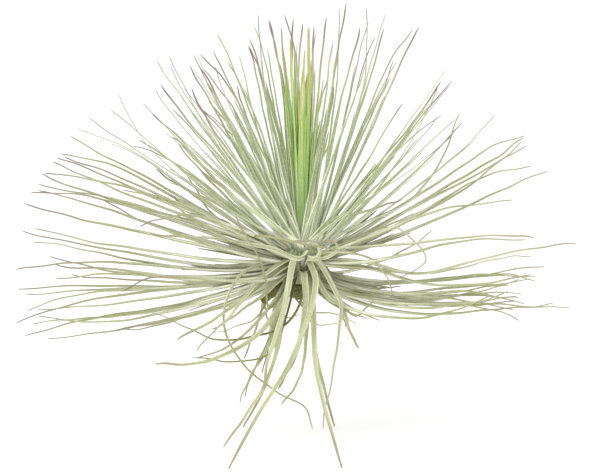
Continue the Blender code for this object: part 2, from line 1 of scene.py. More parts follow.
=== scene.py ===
"""The looks of the air plant: fine channelled leaves with pale felted margins and dry thread tips.

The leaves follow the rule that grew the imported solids, with the same seed, so each fine leaf lies where its
solid does. +Z is up, the floor is z = 0, and the front is -Y. Angles are in degrees. A bearing is a compass
angle in the floor plane, counted from +X towards +Y, and a rise is an angle above the horizontal.
"""

import math
import random
from dataclasses import dataclass

import bpy
import numpy as np
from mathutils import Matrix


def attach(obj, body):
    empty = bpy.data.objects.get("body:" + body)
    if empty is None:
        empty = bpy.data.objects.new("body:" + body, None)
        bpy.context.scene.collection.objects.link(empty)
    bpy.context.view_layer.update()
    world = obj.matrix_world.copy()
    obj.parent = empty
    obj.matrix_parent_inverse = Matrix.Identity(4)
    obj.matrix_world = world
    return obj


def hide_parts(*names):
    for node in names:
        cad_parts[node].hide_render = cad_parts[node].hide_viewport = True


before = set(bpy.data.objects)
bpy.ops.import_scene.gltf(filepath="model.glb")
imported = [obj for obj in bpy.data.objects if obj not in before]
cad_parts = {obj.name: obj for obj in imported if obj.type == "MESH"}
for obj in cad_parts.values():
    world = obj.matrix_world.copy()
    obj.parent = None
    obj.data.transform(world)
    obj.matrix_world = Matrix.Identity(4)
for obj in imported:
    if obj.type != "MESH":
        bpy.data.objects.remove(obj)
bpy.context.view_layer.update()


def by_tier(heart, fan, lower, own=None):
    """A value for each tier, and one for leaves with shapes of their own where they differ."""
    return {"heart": heart, "fan": fan, "lower": lower, "own": own}


MM = 0.001
SEED = 11
GOLDEN_ANGLE = 137.508
FRONT = 270.0

# Where the axis of the rosette stands from the middle of the plant's box
AXIS = (2.9 * MM, -1.3 * MM, 0.0)

# Heights on the axis: the crown, where the spreading leaves seem to meet, and what lies below and above it
CROWN_Z = 94 * MM
HEART_CORE_TOP_Z = CROWN_Z + 6 * MM
FAN_CORE_TOP_Z = CROWN_Z + 1 * MM
DIVIDE_Z = CROWN_Z - 5.5 * MM
LOWER_CORE_LOW_Z = CROWN_Z - 18 * MM

# The cores that the leaf bases wrap: their radii, and their profiles as (radius, z) from the top down
HEART_CORE_RADIUS = 3.2 * MM
FAN_CORE_RADIUS = 8.2 * MM
LOWER_CORE_RADIUS = 10.0 * MM
STOCK_RADIUS = 5.2 * MM
HEART_CORE = (
    (HEART_CORE_RADIUS * 0.6, HEART_CORE_TOP_Z),
    (HEART_CORE_RADIUS, HEART_CORE_TOP_Z - 2 * MM),
    (HEART_CORE_RADIUS, FAN_CORE_TOP_Z),
)
FAN_CORE = (
    (HEART_CORE_RADIUS + 1 * MM, FAN_CORE_TOP_Z),
    (FAN_CORE_RADIUS, DIVIDE_Z + 2 * MM),
    (FAN_CORE_RADIUS, DIVIDE_Z),
)
LOWER_CORE = (
    (FAN_CORE_RADIUS, DIVIDE_Z),
    (LOWER_CORE_RADIUS, DIVIDE_Z - 4 * MM),
    (STOCK_RADIUS, LOWER_CORE_LOW_Z),
)

# The ridges round the cores, like overlapping sheaths
CORE_ROWS = 14
CORE_SIDES = 48
RIDGES = 13
RIDGE_HEIGHT = 0.05
RIDGE_TWIST_PER_MM = 1.1

# Where one node's leaves end and the next one's begin
DIVIDE_RISE = 29.0
HEART_WALL_RADIUS = 4.2 * MM
HEART_WALL_FLARE = 0.075
ROOT_SLAB_HALF = 8.0 * MM
ROOT_SLAB_TOP_Z = CROWN_Z - 15 * MM
ROOT_SLAB_FALL = 0.22
ROOT_SLAB_REACH = 42 * MM
ROOT_SLAB_EASE_Z = 6 * MM
ROOT_SLAB_EASE_X = 20 * MM
LEAF_CLEARANCE = 0.2 * MM

# The half width that the solids' leaves taper to, and how they flare where they sheathe the core
TIP_HALF_WIDTH = 0.36 * MM
TIP_SHARE = 0.3
TAPER = 1.35
SHEATH = 0.3 * MM
SHEATH_SHARE = 0.13

# How long the spreading leaves can be, in mm, how many leaves each rule places, and the steps along a leaf
LEAF_LENGTH = 108
HEART_COUNT = 18
FRONT_AND_BACK_COUNT = 28
HANGING_COUNT = 3
FINE_STEPS = 96

# The heart: sizes in mm with the limits of what a draw adds to the length, the rise of the middle leaf, and
# how far the outermost leans out
HEART_HALF_WIDTH = 1.05
HEART_ROOT_RADIUS = 2.3
HEART_LENGTH = 90
HEART_LENGTH_DRAW = (-26, 6)
HEART_RISE = 89.6
HEART_LEAN = 4.4

# The spreading leaves, in mm: the flattest one's, and how much less the steepest one's is
SPREADING_HALF_WIDTH = (1.2, 0.15)
SPREADING_ROOT_RADIUS = (7, 3)
FAN_ROOT_DROP = (3.5, 2.5)

# The hanging leaves: sizes in mm, how much shorter some are, and the arc that their bearings lie in
HANGING_HALF_WIDTH = 1.6
HANGING_LENGTH = 60
HANGING_LENGTH_LOSS = 24
HANGING_FROM = 35
HANGING_ARC = 165

# Where along it the tip of a leaf starts to turn
TURNS_FROM = 0.55

# Leaves by where their tips are seen from the front:
# angle from +X through +Z, reach from the crown in mm, number of leaves
TOP_SPOKES = (
    (129, 104, 2), (125, 99, 2), (121, 94, 2), (118, 90, 3), (115, 93, 1), (111, 96, 2), (108, 89, 2),
    (104, 92, 2), (101, 84, 1), (99, 101, 2), (95, 101, 2), (92, 101, 1), (89, 99, 1), (85, 94, 2),
    (83, 102, 1), (79, 108, 2), (76, 102, 1), (74, 108, 2), (69, 106, 2), (63, 109, 2), (60, 94, 1),
    (54, 76, 1), (49, 97, 4), (46, 88, 2), (41, 83, 2), (37, 88, 1), (31, 100, 1), (120, 76, 2),
    (132, 84, 2), (142, 72, 2),
)
LEFT_SPOKES = (
    (136, 95, 2), (140, 89, 2), (147, 106, 2), (150, 107, 2), (155, 113, 2), (161, 112, 2), (164, 117, 3),
    (167, 120, 3), (174, 120, 2), (176, 124, 1), (179, 121, 2), (183, 112, 2), (189, 104, 2), (190, 126, 3),
    (193, 128, 2), (195, 124, 2), (200, 124, 2), (206, 93, 2), (145, 84, 2), (152, 72, 2), (166, 68, 2),
)
RIGHT_SPOKES = (
    (29, 104, 1), (26, 110, 2), (24, 106, 2), (18, 113, 1), (-6, 108, 2), (-9, 104, 3), (-11, 102, 3),
    (-8, 122, 1), (-14, 98, 3), (-15, 119, 1), (-16, 99, 3),
)

# The height angle and the distance in mm from which the tips are seen, and how steeply a leaf leaves the
# crown on either side, against the angle above the horizontal at which its tip is seen
SEEN_FROM = 8.0
SEEN_DISTANCE = 900
SEEN_ANGLES = (-25, -12, 0, 15, 30, 90)
LEFT_START_RISES = (-40, -28, -13, 18, 33, 88)
RIGHT_START_RISES = (-46, -44, -24, 8, 24, 88)

# Where the heart stands open to the front: leaves seen between these angles lean back, and the others of the
# fan come forward by no more than this share of how far they go to the side
HEART_WINDOW = (84, 101)
FORWARD_SHARE = 1.4

# Leaves with a shape of their own: half width at the base, then points from root to tip, in mm.
# The plant stands on the first four, the last point of each lying below the floor that cuts it.
FEET = (
    (1.7, ((1, -6, 85), (3, -15, 88.5), (3.5, -21, 87.5), (6, -25, 80), (3, -28, 66), (-6, -33, 44.5),
        (-19, -36.5, 24), (-32, -39.5, 0), (-35, -40.5, -6))),
    (1.7, ((2, -6, 82), (4, -14, 79), (5, -20, 66), (6, -26, 44), (11, -33, 22), (17.5, -38, 0),
        (19.5, -39.5, -6))),
    (1.7, ((-2, 5, 84), (-4, 13, 84), (-8, 21, 65), (-11, 30, 41), (-18.5, 36, 17.5), (-28, 40, 0),
        (-31, 41, -6))),
    (1.7, ((2, 6, 84), (4, 14, 84), (5, 21, 65), (6, 30, 41), (11, 37, 17.5), (15.5, 41, 0), (17, 42, -6))),
)
FAN_STRAYS = (
    (1.2, ((5, -3, 92), (8.5, -9, 97), (10, -11, 102), (14, -13, 106.5), (20, -15, 108.5), (30, -16, 110.5),
        (44, -16, 116))),
    (1.1, ((-6, -3, 92), (-11, -9, 98), (-20, -13, 103), (-34, -17, 112), (-58, -20, 124))),
    (1.2, ((5, -2, 93.5), (16, -6, 98.5), (30, -9, 105), (47, -10, 113.5), (56, -10, 124),
        (62.5, -10, 134.5), (67, -10, 145.5), (70, -10, 153))),
)
STRAY_LEAVES = (
    (0.75, ((-3, -4, 88), (-23, -18, 85), (-32, -24, 75), (-34, -26, 60), (-26, -27, 45), (-12, -27, 32),
        (1, -26, 23), (5, -25, 14))),
    (1.8, ((-2, -6, 86), (-7, -15, 88), (-17.5, -22, 81.5), (-24.5, -26, 74), (-31, -29, 67),
        (-46, -32, 50))),
    (1.8, ((-2, -6, 85), (-6, -14, 86), (-15.5, -20, 80), (-26, -24, 72), (-35, -26, 66), (-56, -27, 54))),
    (1.7, ((-2, -5, 82), (-8, -13, 81), (-17, -18, 73), (-29, -20, 65), (-41, -20, 57))),
    (1.8, ((-3, -4, 82), (-8, -16, 71), (-18, -20, 57), (-30, -22, 49), (-46, -23, 44), (-65, -20, 42))),
    (1.3, ((-4, -3, 82), (-12, -15, 70), (-24, -17, 57), (-36, -18, 48), (-47, -17, 44))),
    (0.5, ((-4, -3, 86), (-14, -14, 91), (-22, -25, 99), (-17, -32, 101.5), (-5, -35, 100), (4, -36, 98),
        (13, -36, 96), (22, -35, 94), (34, -32, 91))),
    (0.5, ((-3, -6, 81), (-14, -22, 68), (-16, -33, 82), (-20, -38, 96), (-29, -42, 111))),
    (1.1, ((4, -5, 81), (10, -14, 74), (16.5, -18, 69), (25, -19, 64.5), (31, -18, 70.5))),
    (1.7, ((3, -5, 82), (5, -14, 84), (7, -18, 79.5), (12, -20, 71.5), (17, -21, 68.5), (21.5, -22, 59),
        (25.5, -22, 50))),
    (2.0, ((2, -5, 85), (5, -14, 87.5), (8, -20, 87), (15, -26, 75), (17, -27, 68), (13, -30, 40),
        (9.5, -30, 14.5))),
    (1.3, ((1, -4, 80), (2.5, -12, 74), (2.5, -15, 62), (-0.5, -16, 38), (-5, -16, 27), (-9, -16, 23))),
    (2.0, ((-2, -5, 84), (-3, -14, 87.5), (-4, -20, 87.5), (-7, -26, 72.5), (-13, -28, 50), (-17, -29, 34))),
    (2.0, ((0, -6, 80), (0.5, -14, 83), (1, -20, 81), (1.5, -23, 70), (-3, -24, 48), (-10, -24, 32.5))),
    (1.4, ((-3, -6, 81), (-6, -14, 77), (-9, -19, 61), (-13, -23, 42), (-24, -26, 21.5), (-34, -28, 7))),
    (1.3, ((-4, -4, 80), (-8, -12, 70), (-13.5, -16, 53), (-22.5, -17, 36), (-27.5, -17, 24.5))),
    (1.2, ((-4, 4, 82), (-10, 12, 66), (-15, 14, 48), (-27, 16, 20))),
    (1.3, ((5, -2, 85), (20, -9, 93), (36, -13, 102), (44, -14, 102), (55, -15, 88), (44, -15, 80))),
    (1.4, ((3, -6, 87), (13, -17, 92), (28, -22, 91), (36, -24, 84), (40, -24, 73))),
    (1.7, ((5, -3, 88), (16, -8, 92), (30.6, -13, 94.2), (60, -15, 97), (94.5, -16, 100.3),
        (103.5, -16, 98.9))),
    (1.4, ((5, -3, 86), (16, -8, 87.5), (30.6, -12, 86.4), (51.8, -14, 82.1), (80, -15, 88.8),
        (115.8, -16, 96), (122.9, -16, 96.6))),
    (1.4, ((5, -3, 85), (17, -8, 84.2), (32.9, -12, 83.4), (53, -15, 78), (75.6, -15, 77),
        (102.6, -15, 83))),
    (1.4, ((5, -2, 85), (18, -6, 85.5), (32, -8, 83.5), (45, -9, 81.8), (59, -10, 82.2),
        (87.3, -11, 88.1), (103, -11, 90.6))),
    (1.3, ((-4, -6, 85), (-8, -12, 88.5), (-16, -17, 94), (-32, -24, 103.5), (-50, -32, 113))),
    (0.5, ((2, -6, 82), (-1, -14, 68), (-8, -17, 59), (-19, -18, 55), (-40, -19, 54), (-66, -20, 66))),
    (0.5, ((-2, -5, 82), (-6, -14, 66), (-11, -17, 52), (-18, -18, 45), (-34, -19, 43), (-49, -20, 47))),
)

# Leaves that come forward and curl round, seen face on: tier, half width at the base, whether the face looks
# right (1) or left (-1) at the root, then points
CURLS = (
    ("lower", 1.8, 1, (
        (0, -5, 85), (0, -12, 87), (1, -20, 92), (2, -24, 92.5), (-1, -26, 91), (-5.5, -27, 92.3),
        (-13, -28, 96), (-29, -31, 99), (-66, -36, 104))),
    ("lower", 1.8, -1, (
        (1, -6, 84), (2, -14, 87.5), (2.5, -23, 90.5), (2.7, -30, 91.8), (5.9, -32, 91.7), (7.7, -32.5, 94),
        (7.2, -32.5, 97.1), (5, -32.5, 98.9), (1.4, -32.5, 99.6), (-4, -33, 100), (-8.6, -33.5, 100.3))),
    ("lower", 1.4, -1, (
        (3, -6, 84), (4.5, -14, 87.5), (6, -23, 90), (8.5, -30.5, 91.6), (12.2, -33, 93.1),
        (15.3, -33.5, 95.1), (15.8, -33.5, 97.8), (13.5, -33.5, 99.5), (10.4, -33.5, 99.1),
        (7.2, -33.5, 97.7))),
    ("fan", 1.5, 1, (
        (-1, -4, 91.5), (0.5, -10, 93.4), (0.5, -16, 95), (-2.3, -18, 97), (-5.4, -18.5, 99),
        (-9.9, -19, 102.4), (-14.4, -20, 105.6), (-21, -21, 110.8), (-45, -26, 129))),
)

# The woody stock below the leaves, and the wiry roots that leave it: points in mm, from the top or the root
STOCK_POINTS = ((0, 0, 75.7), (0, 0, 73.2), (-6, 0.5, 72.7), (-12, 1, 72.5), (-18, 1.5, 67))
STOCK_RADII = (5.2, 3.2, 2.2, 1.7, 1.5)
ROOT_HALF_WIDTH = 0.34 * MM
WIRY_ROOTS = (
    ((-17, 1, 69), (-16, 1, 60), (-13.5, 1, 55), (-13.5, 1, 49), (-16, 1, 38)),
    ((-12, 1, 72.5), (-11, 1, 63), (-6, 0, 60), (-1, -2, 62)),
    ((-3, 0, 74), (1, -2, 65), (5, -3, 58), (18, -4, 57.5)),
    ((-14, 1.5, 72), (-20, 3, 60), (-30, 4, 55), (-40, 4, 52)),
    ((-6, 1, 73), (2, 3, 63), (14, 4, 61), (25, 3, 57)),
)

# The rings of the fine leaves: how far apart and how few they may be, where along the leaf the last one is,
# and the angles at which each face has points
RING_STEP = by_tier(3.0 * MM, 3.0 * MM, 2.3 * MM)
FEWEST_RINGS = 16
LAST_RING = 0.985
OUTER_ANGLES = (-90, -60, -30, 0, 30, 60, 90)
INNER_ANGLES = (64, 32, 0, -32, -64)
INNER_SPREAD = 0.92

# The channel across a fine leaf, in mm: at the tip, and how much more it is at the root
MARGIN_RISE = (0.1, 0.85)
KEEL_DEPTH = (0.24, 0.4)
BLADE_DEPTH = (0.38, 0.4)
CHANNEL_FADE = 1.1

# How wide and deep fine leaves are next to their solids, and how fast they taper. Own is for those with
# points, and a key of True for blunt ones, which are wider than BLUNT_FROM.
FINE_SPREAD = by_tier(0.8, 0.6, 1.15, 0.92)
FINE_DEPTH = by_tier(0.7, 0.65, 1.25, 1.0)
FINE_TAPER = by_tier(0.6, 0.8, 1.3, 0.85)
FINE_SHEATH = by_tier(0.0, 0.1 * MM, 0.6 * MM)
FINE_TIP_HALF_WIDTH = by_tier(0.3 * MM, 0.33 * MM, 0.31 * MM)
FINE_TIP_SHARE = {False: 0.22, True: 0.27}
BLUNT_FROM = 1.25 * MM
NARROW_TIP = 0.05
TIP_NARROWING = {False: 0.5, True: 0.3}

# How a fine leaf twists and wavers, in slow and quick waves along it, more so towards its tip
TWIST = 22
KINK = by_tier(0.5 * MM, 0.9 * MM, 1.3 * MM)
KINK_POWER = 2.2
SLOW_WAVES = (1.2, 2.2)
QUICK_WAVES = (4, 7)
SLOW_SHARE = 0.7
QUICK_SHARE = 0.26

# A solid leaf without points stands for two fine ones: the sides of its middle that they keep to, how far
# they part at the base in half widths, at the tip and along their normals, and how far the second reaches
STRANDS = by_tier((-1, 1), (-1, 1), (0, 2), (0,))
STRAND_ASIDE = 0.5
STRAND_SPREAD = 1.2 * MM
SPREAD_LIMITS = (0.2, 1.2)
SPREAD_POWER = 1.5
STRAND_LIFT = by_tier(1.0 * MM, 1.0 * MM, 6.0 * MM)
LIFT_POWER = by_tier(2, 2, 1)
SECOND_REACH = by_tier((0.5, 0.9), (0.5, 0.9), (0.26, 0.42))

# How leaves dry: the limits between which it starts along them, and how dry the tips of the first and the
# second fine leaf of a solid one get. In the lower tier the second and the right-hand ones are drawn apart.
DRY_FROM = by_tier((0.5, 0.7), (0.5, 0.93), (0.5, 0.93), (0.38, 0.8))
TIP_DRYNESS = by_tier((0.8, 0.3), (1.0, 0.35), (1.0, 0.35), (0.62,))
SECOND_DRY_FROM = 0.75
SECOND_DRYNESS = (0, 0.7)
RIGHT_DRY_FROM = (0.72, 0.96)
RIGHT_DRYNESS = (0.4, 1)
RIGHT_COSINE = 0.4
DRIEST_AT = 1.02

# How much of the groove's green the outer face shows, and from where, over how much of the leaf and by how
# much the felt thins out. Blunt leaves have less green, fewer flecks and a narrower margin, and stay felted.
# Curled ones have more felt, and those with half widths below THREAD_BELOW none.
OUTER_GREEN = by_tier(0.9, 0.65, 0.2)
BLUNT_GREEN = 0.3
FELT_FROM = 0.08
FELT_REACH = by_tier(0.45, 0.6, 0.7)
FELT_LOSS = by_tier(0.7, 0.7, 0.8)
BLUNT_FELT = 0.95
BLUNT_FELT_LOSS = 0.15
CURLED_FELT = 1.4
BLUNT_FLECKS = 0.6
BLUNT_MARGIN = 0.72
THREAD_BELOW = 0.6 * MM

# How far on each next leaf is in the patterns, so that no two are marked alike
LEAF_PATTERN_STEP = 9
STRAND_PATTERN_STEP = 4

# The share of its strip of the map that a leaf takes up
STRIP_SHARE = 0.92

# The down on the leaves: how many hairs a millimetre of leaf bears, where on it, and how they lean
HAIRS_PER_MM = by_tier(2.5, 2.5, 4.0)
DOWNY_SHARE = 0.96
DOWN_FROM = 0.02
DOWN_TO_ROOT = 1.5
HAIRS_ON_A_MARGIN = 0.3
HAIR_LEAN = (0.4, 1.6)
HAIR_SCATTER = 0.35

# A hair: its length, how it changes from the root to the tip of the leaf, how thick and how deep it is, how
# many hairs a row of the map holds, and how much of its cell there each takes up
HAIR_LENGTH = (0.28 * MM, 0.54 * MM)
HAIR_FADE = (1.1, 0.6)
HAIR_HALF_WIDTH = 0.075 * MM
HAIR_ROOT_DEPTH = 0.06 * MM
HAIR_CELLS = 200
CELL_SHARE = 0.7

# The stock and the wiry roots: points along and round them, how uneven they are, how the roots taper and
# waver, and how pale their tips are
STOCK_RINGS = 36
STOCK_SIDES = 28
STOCK_UNEVEN = 0.05
ROOT_RINGS_PER_POINT = 12
ROOT_SIDES = 8
ROOT_UNEVEN = 0.06
ROOT_TAPER = (1.4, 0.8)
ROOT_WAVES = (2, 4)
ROOT_WAVER = 0.35 * MM
ROOT_PALENESS = 0.9

# The view of the photo, which is taken from where the tips are seen: how wide it is, and where in its frame
# the crown is
VIEW_WIDTH = 0.270
FRAME_WIDTH_PX = 600
CROWN_OFF_CENTRE_PX = (2, 7)
SENSOR_WIDTH = 36


@dataclass
class Leaf:
    """One leaf, from its root in the core to its tip. Points, in mm, give it a shape of its own."""

    tier: str
    half_width: float
    root_bearing: float = 0.0
    bearing: float = 0.0
    root_radius: float = 7.0 * MM
    root_z: float = 0.0
    length: float = 0.0
    rise: float = 0.0
    start_rise: float = 0.0
    bend: float = 0.3
    tip_rise: float = 0.0
    tip_turn: float = 0.0
    wave: float = 0.0
    phase: float = 0.0
    points: tuple = ()
    face_side: int = 0
    foot: bool = False


def heading(bearing, rise):
    """Unit vectors for bearings and rises."""
    b = np.radians(bearing)
    e = np.radians(rise)
    return np.stack([np.cos(e) * np.cos(b), np.cos(e) * np.sin(b), np.sin(e)], -1)


def unit(vectors):
    return vectors / np.linalg.norm(vectors, axis=1)[:, None]


def angle_of(up, along):
    return math.degrees(math.atan2(up, along))


def eased(x):
    x = np.clip(x, 0, 1)
    return x * x * (3 - 2 * x)


def settled(s, bend):
    """Rises from below zero at the root and levels off, with a mean of 0 over the leaf."""
    fall = np.exp(-s / bend)
    mean = bend * (1 - math.exp(-1 / bend))
    return (mean - fall) / (1 - mean)


def solid_half_width(leaf, s):
    """The leaf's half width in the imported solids, which sets how far it keeps from its neighbours."""
    tip = max(TIP_HALF_WIDTH, TIP_SHARE * leaf.half_width)
    blade = tip + (leaf.half_width - tip) * (1 - s) ** TAPER
    sheath = 0 if leaf.tier == "heart" else SHEATH
    return blade + sheath * np.clip(1 - s / SHEATH_SHARE, 0, 1) ** 2


def keep_to_side(points, room, tier):
    """Moves the points of a leaf off the surfaces that part its tier from its neighbours."""
    x, y, z = points.T.copy()
    r = np.maximum(np.hypot(x, y), 1e-9)
    if tier in ("heart", "fan"):
        wall = HEART_WALL_RADIUS + HEART_WALL_FLARE * np.maximum(0, z - FAN_CORE_TOP_Z)
        if tier == "heart":
            kept = np.minimum(r, np.maximum(wall - room, 0))
        else:
            kept = np.where(z > FAN_CORE_TOP_Z - room, np.maximum(r, wall + room), r)
        x, y, r = x * kept / r, y * kept / r, kept
    if tier in ("fan", "lower"):
        slope = math.radians(DIVIDE_RISE)
        divide = DIVIDE_Z + np.maximum(0, r - FAN_CORE_RADIUS) * math.tan(slope)
        lift = room / math.cos(slope)
        z = np.maximum(z, divide + lift) if tier == "fan" else np.minimum(z, divide - lift)
    if tier == "lower":
        side = -1.0 if y[-1] < 0 else 1.0
        low = eased((ROOT_SLAB_TOP_Z + 2 * MM - ROOT_SLAB_FALL * np.abs(x) - z) / ROOT_SLAB_EASE_Z)
        near = eased((ROOT_SLAB_REACH + ROOT_SLAB_EASE_X - np.abs(x)) / ROOT_SLAB_EASE_X)
        pushed = side * np.maximum(side * y, ROOT_SLAB_HALF + room)
        y = y + (pushed - y) * low * near
    return np.stack([x, y, z], -1)


def sampled(values, at, wanted):
    return np.stack([np.interp(wanted, at, values[:, k]) for k in range(3)], -1)


def through(points, count):
    """Even steps along a smooth curve through the given points."""
    p = np.array(points, float)
    p = np.vstack([2 * p[0] - p[1], p, 2 * p[-1] - p[-2]])
    t = np.linspace(0, 1, 24, endpoint=False)[:, None]
    curve = []
    for before, start, end, after in zip(p, p[1:], p[2:], p[3:]):
        linear = (end - before) * t
        square = (2 * before - 5 * start + 4 * end - after) * t**2
        cube = (3 * start - before - 3 * end + after) * t**3
        curve.append(start + (linear + square + cube) / 2)
    curve = np.vstack(curve + [p[-2:-1]])
    run = np.concatenate([[0], np.cumsum(np.linalg.norm(np.diff(curve, axis=0), axis=1))])
    return sampled(curve, run, np.linspace(0, run[-1], count))


def carried_normals(along, first):
    """Normals that start as near to the first as they can and are carried along the curve without a twist."""
    normals = [np.array(first, float)]
    for direction in along:
        normal = normals[-1] - direction * (direction @ normals[-1])
        normals.append(normal / np.linalg.norm(normal))
    return np.array(normals[1:])


def course(leaf):
    """The leaf's centreline in even steps, and the normal of its inner face at each."""
    s = np.linspace(0, 1, FINE_STEPS + 1)
    room = solid_half_width(leaf, s) + LEAF_CLEARANCE
    if leaf.points:
        points = keep_to_side(through(leaf.points, len(s)) * MM, room, leaf.tier)
        first = (leaf.face_side, 0, 0) if leaf.face_side else (0, 0, 1)
        return points, carried_normals(unit(np.gradient(points, axis=0)), first)
    tip = eased((s - TURNS_FROM) / (1 - TURNS_FROM))
    rise = leaf.rise + (leaf.rise - leaf.start_rise) * settled(s, leaf.bend)
    rise += leaf.tip_rise * tip + leaf.wave * np.sin(5 * s + leaf.phase) * s
    turn = leaf.bearing - leaf.root_bearing
    bearing = leaf.bearing + turn * settled(s, leaf.bend) + leaf.tip_turn * tip
    along = heading(bearing, rise)
    steps = (along[1:] + along[:-1]) / 2 * (leaf.length / FINE_STEPS)
    root = heading(leaf.root_bearing, 0) * leaf.root_radius
    root[2] = leaf.root_z
    points = root + np.vstack([np.zeros(3), np.cumsum(steps, 0)])
    return keep_to_side(points, room, leaf.tier), heading(bearing, rise + 90)


def heart_leaf(rng, i):
    """One of the youngest leaves, upright in a tight bunch on the axis."""
    out = math.sqrt((i + 0.5) / HEART_COUNT)
    rise = HEART_RISE - HEART_LEAN * out + rng.gauss(0, 0.5)
    return Leaf(
        tier="heart",
        half_width=HEART_HALF_WIDTH * MM,
        root_bearing=i * GOLDEN_ANGLE, bearing=i * GOLDEN_ANGLE,
        root_radius=HEART_ROOT_RADIUS * MM * out,
        root_z=CROWN_Z + 3 * MM,
        length=(HEART_LENGTH + rng.uniform(*HEART_LENGTH_DRAW)) * MM,
        rise=rise, start_rise=rise, tip_rise=rng.gauss(0, 2),
    )


def spreading_leaf(rng, angle, reach, depth):
    """A leaf of the rosette by where its tip is seen from the front, and how far back its tip lies."""
    reach = reach * (1 + depth / SEEN_DISTANCE)
    x = reach * math.cos(math.radians(angle))
    up = reach * math.sin(math.radians(angle))
    z = (up - depth * math.sin(math.radians(SEEN_FROM))) / math.cos(math.radians(SEEN_FROM))
    start_rises = LEFT_START_RISES if x < 0 else RIGHT_START_RISES
    start_rise = float(np.interp(angle_of(up, abs(x)), SEEN_ANGLES, start_rises))
    flat = math.hypot(x, depth)
    steep = max(0.0, (angle_of(z, flat) - 30) / 60)
    tier = "fan" if z > flat * math.tan(math.radians(DIVIDE_RISE)) else "lower"
    if tier == "fan":
        drop = FAN_ROOT_DROP[0] - FAN_ROOT_DROP[1] * steep
    else:
        drop = 8.5 - 0.11 * start_rise + rng.uniform(-1.5, 1.5)
    root_radius = SPREADING_ROOT_RADIUS[0] - SPREADING_ROOT_RADIUS[1] * steep
    out = max(flat - root_radius, 0.5)
    bearing = angle_of(depth, x)
    rise = angle_of(z + drop, out)
    return Leaf(
        tier=tier,
        half_width=(SPREADING_HALF_WIDTH[0] - SPREADING_HALF_WIDTH[1] * steep) * MM,
        root_bearing=bearing + rng.gauss(0, 7) * (1 - steep),
        bearing=bearing,
        root_radius=root_radius * MM,
        root_z=CROWN_Z - drop * MM,
        length=math.hypot(out, z + drop) * (1.03 - 0.05 * steep) * MM,
        rise=rise,
        start_rise=start_rise + rng.gauss(0, 8) * (1 - steep),
        bend=rng.uniform(0.2, 0.36),
        tip_rise=rng.gauss(-1, 8) * (1.5 - 0.5 * steep), tip_turn=rng.gauss(0, 12),
        wave=rng.gauss(0, 2.5), phase=rng.uniform(0, 6),
    )


def spoke_leaves(rng):
    """The leaves whose tips make the outline seen from the front."""
    leaves = []
    for angle, reach, count in TOP_SPOKES + LEFT_SPOKES + RIGHT_SPOKES:
        for _ in range(count):
            deepest = math.sqrt(max(0.0, LEAF_LENGTH**2 - reach**2))
            depth = rng.choice((-1, 1)) * deepest * rng.uniform(0.5, 1) + rng.gauss(0, 16)
            if HEART_WINDOW[0] < angle < HEART_WINDOW[1]:
                depth = abs(depth) + 12
            elif DIVIDE_RISE < angle < 180 - DIVIDE_RISE:
                depth = max(depth, -FORWARD_SHARE * abs(reach * math.cos(math.radians(angle))))
            leaves.append(spreading_leaf(rng, angle + rng.gauss(0, 1.5), reach + rng.gauss(0, 2), depth))
    return leaves


def front_and_back_leaves(rng):
    """The leaves that come forward or go back, those in front sweeping to the sides as they do."""
    leaves = []
    for i in range(FRONT_AND_BACK_COUNT):
        share = (i + 0.5) / FRONT_AND_BACK_COUNT
        forward = i % 2 == 0
        leaf = spreading_leaf(rng, 74 - 88 * share + rng.gauss(0, 3), 98 + 8 * share + rng.gauss(0, 5), 0)
        turn = (i * GOLDEN_ANGLE / 180) % 1 * 2 - 1
        nearest = 42 if forward else 8
        away = math.copysign(nearest + 30 * abs(turn), turn)
        leaf.bearing = (FRONT if forward else FRONT - 180) + away + rng.gauss(0, 4)
        leaf.root_bearing = leaf.bearing - away * (0.85 if leaf.tier == "fan" else 0.4)
        leaf.tip_rise -= 10 if forward and leaf.tier == "lower" else 0
        leaves.append(leaf)
    return leaves


def hanging_leaf(rng, i):
    """One of the oldest leaves at the sides and the back, which arch over and hang."""
    age = (i + 0.5) / HANGING_COUNT
    bearing = HANGING_FROM + HANGING_ARC * ((i * GOLDEN_ANGLE / 180) % 1) + rng.gauss(0, 5)
    return Leaf(
        tier="lower",
        half_width=HANGING_HALF_WIDTH * MM,
        root_bearing=bearing,
        bearing=bearing + rng.gauss(0, 8),
        root_z=DIVIDE_Z - (4.5 + 4.5 * age) * MM,
        length=(HANGING_LENGTH - HANGING_LENGTH_LOSS * rng.random()) * MM,
        rise=-56 - 16 * age + rng.gauss(0, 6),
        start_rise=14 - 40 * age, bend=0.14,
        tip_rise=rng.gauss(0, 9), tip_turn=rng.gauss(0, 20),
        wave=rng.gauss(0, 4), phase=rng.uniform(0, 6),
    )


def leaves_through(shapes, tier="lower", foot=False):
    return [Leaf(tier=tier, half_width=width * MM, points=points, foot=foot) for width, points in shapes]


def curled_leaves():
    return [
        Leaf(tier=tier, half_width=width * MM, face_side=side, points=points)
        for tier, width, side, points in CURLS
    ]


def grown_leaves():
    """Every leaf of the plant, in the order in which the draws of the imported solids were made."""
    rng = random.Random(SEED)
    leaves = [heart_leaf(rng, i) for i in range(HEART_COUNT)]
    leaves += spoke_leaves(rng) + front_and_back_leaves(rng)
    leaves += [hanging_leaf(rng, i) for i in range(HANGING_COUNT)]
    leaves += leaves_through(FAN_STRAYS, tier="fan") + leaves_through(STRAY_LEAVES) + curled_leaves()
    return leaves + leaves_through(FEET, foot=True)


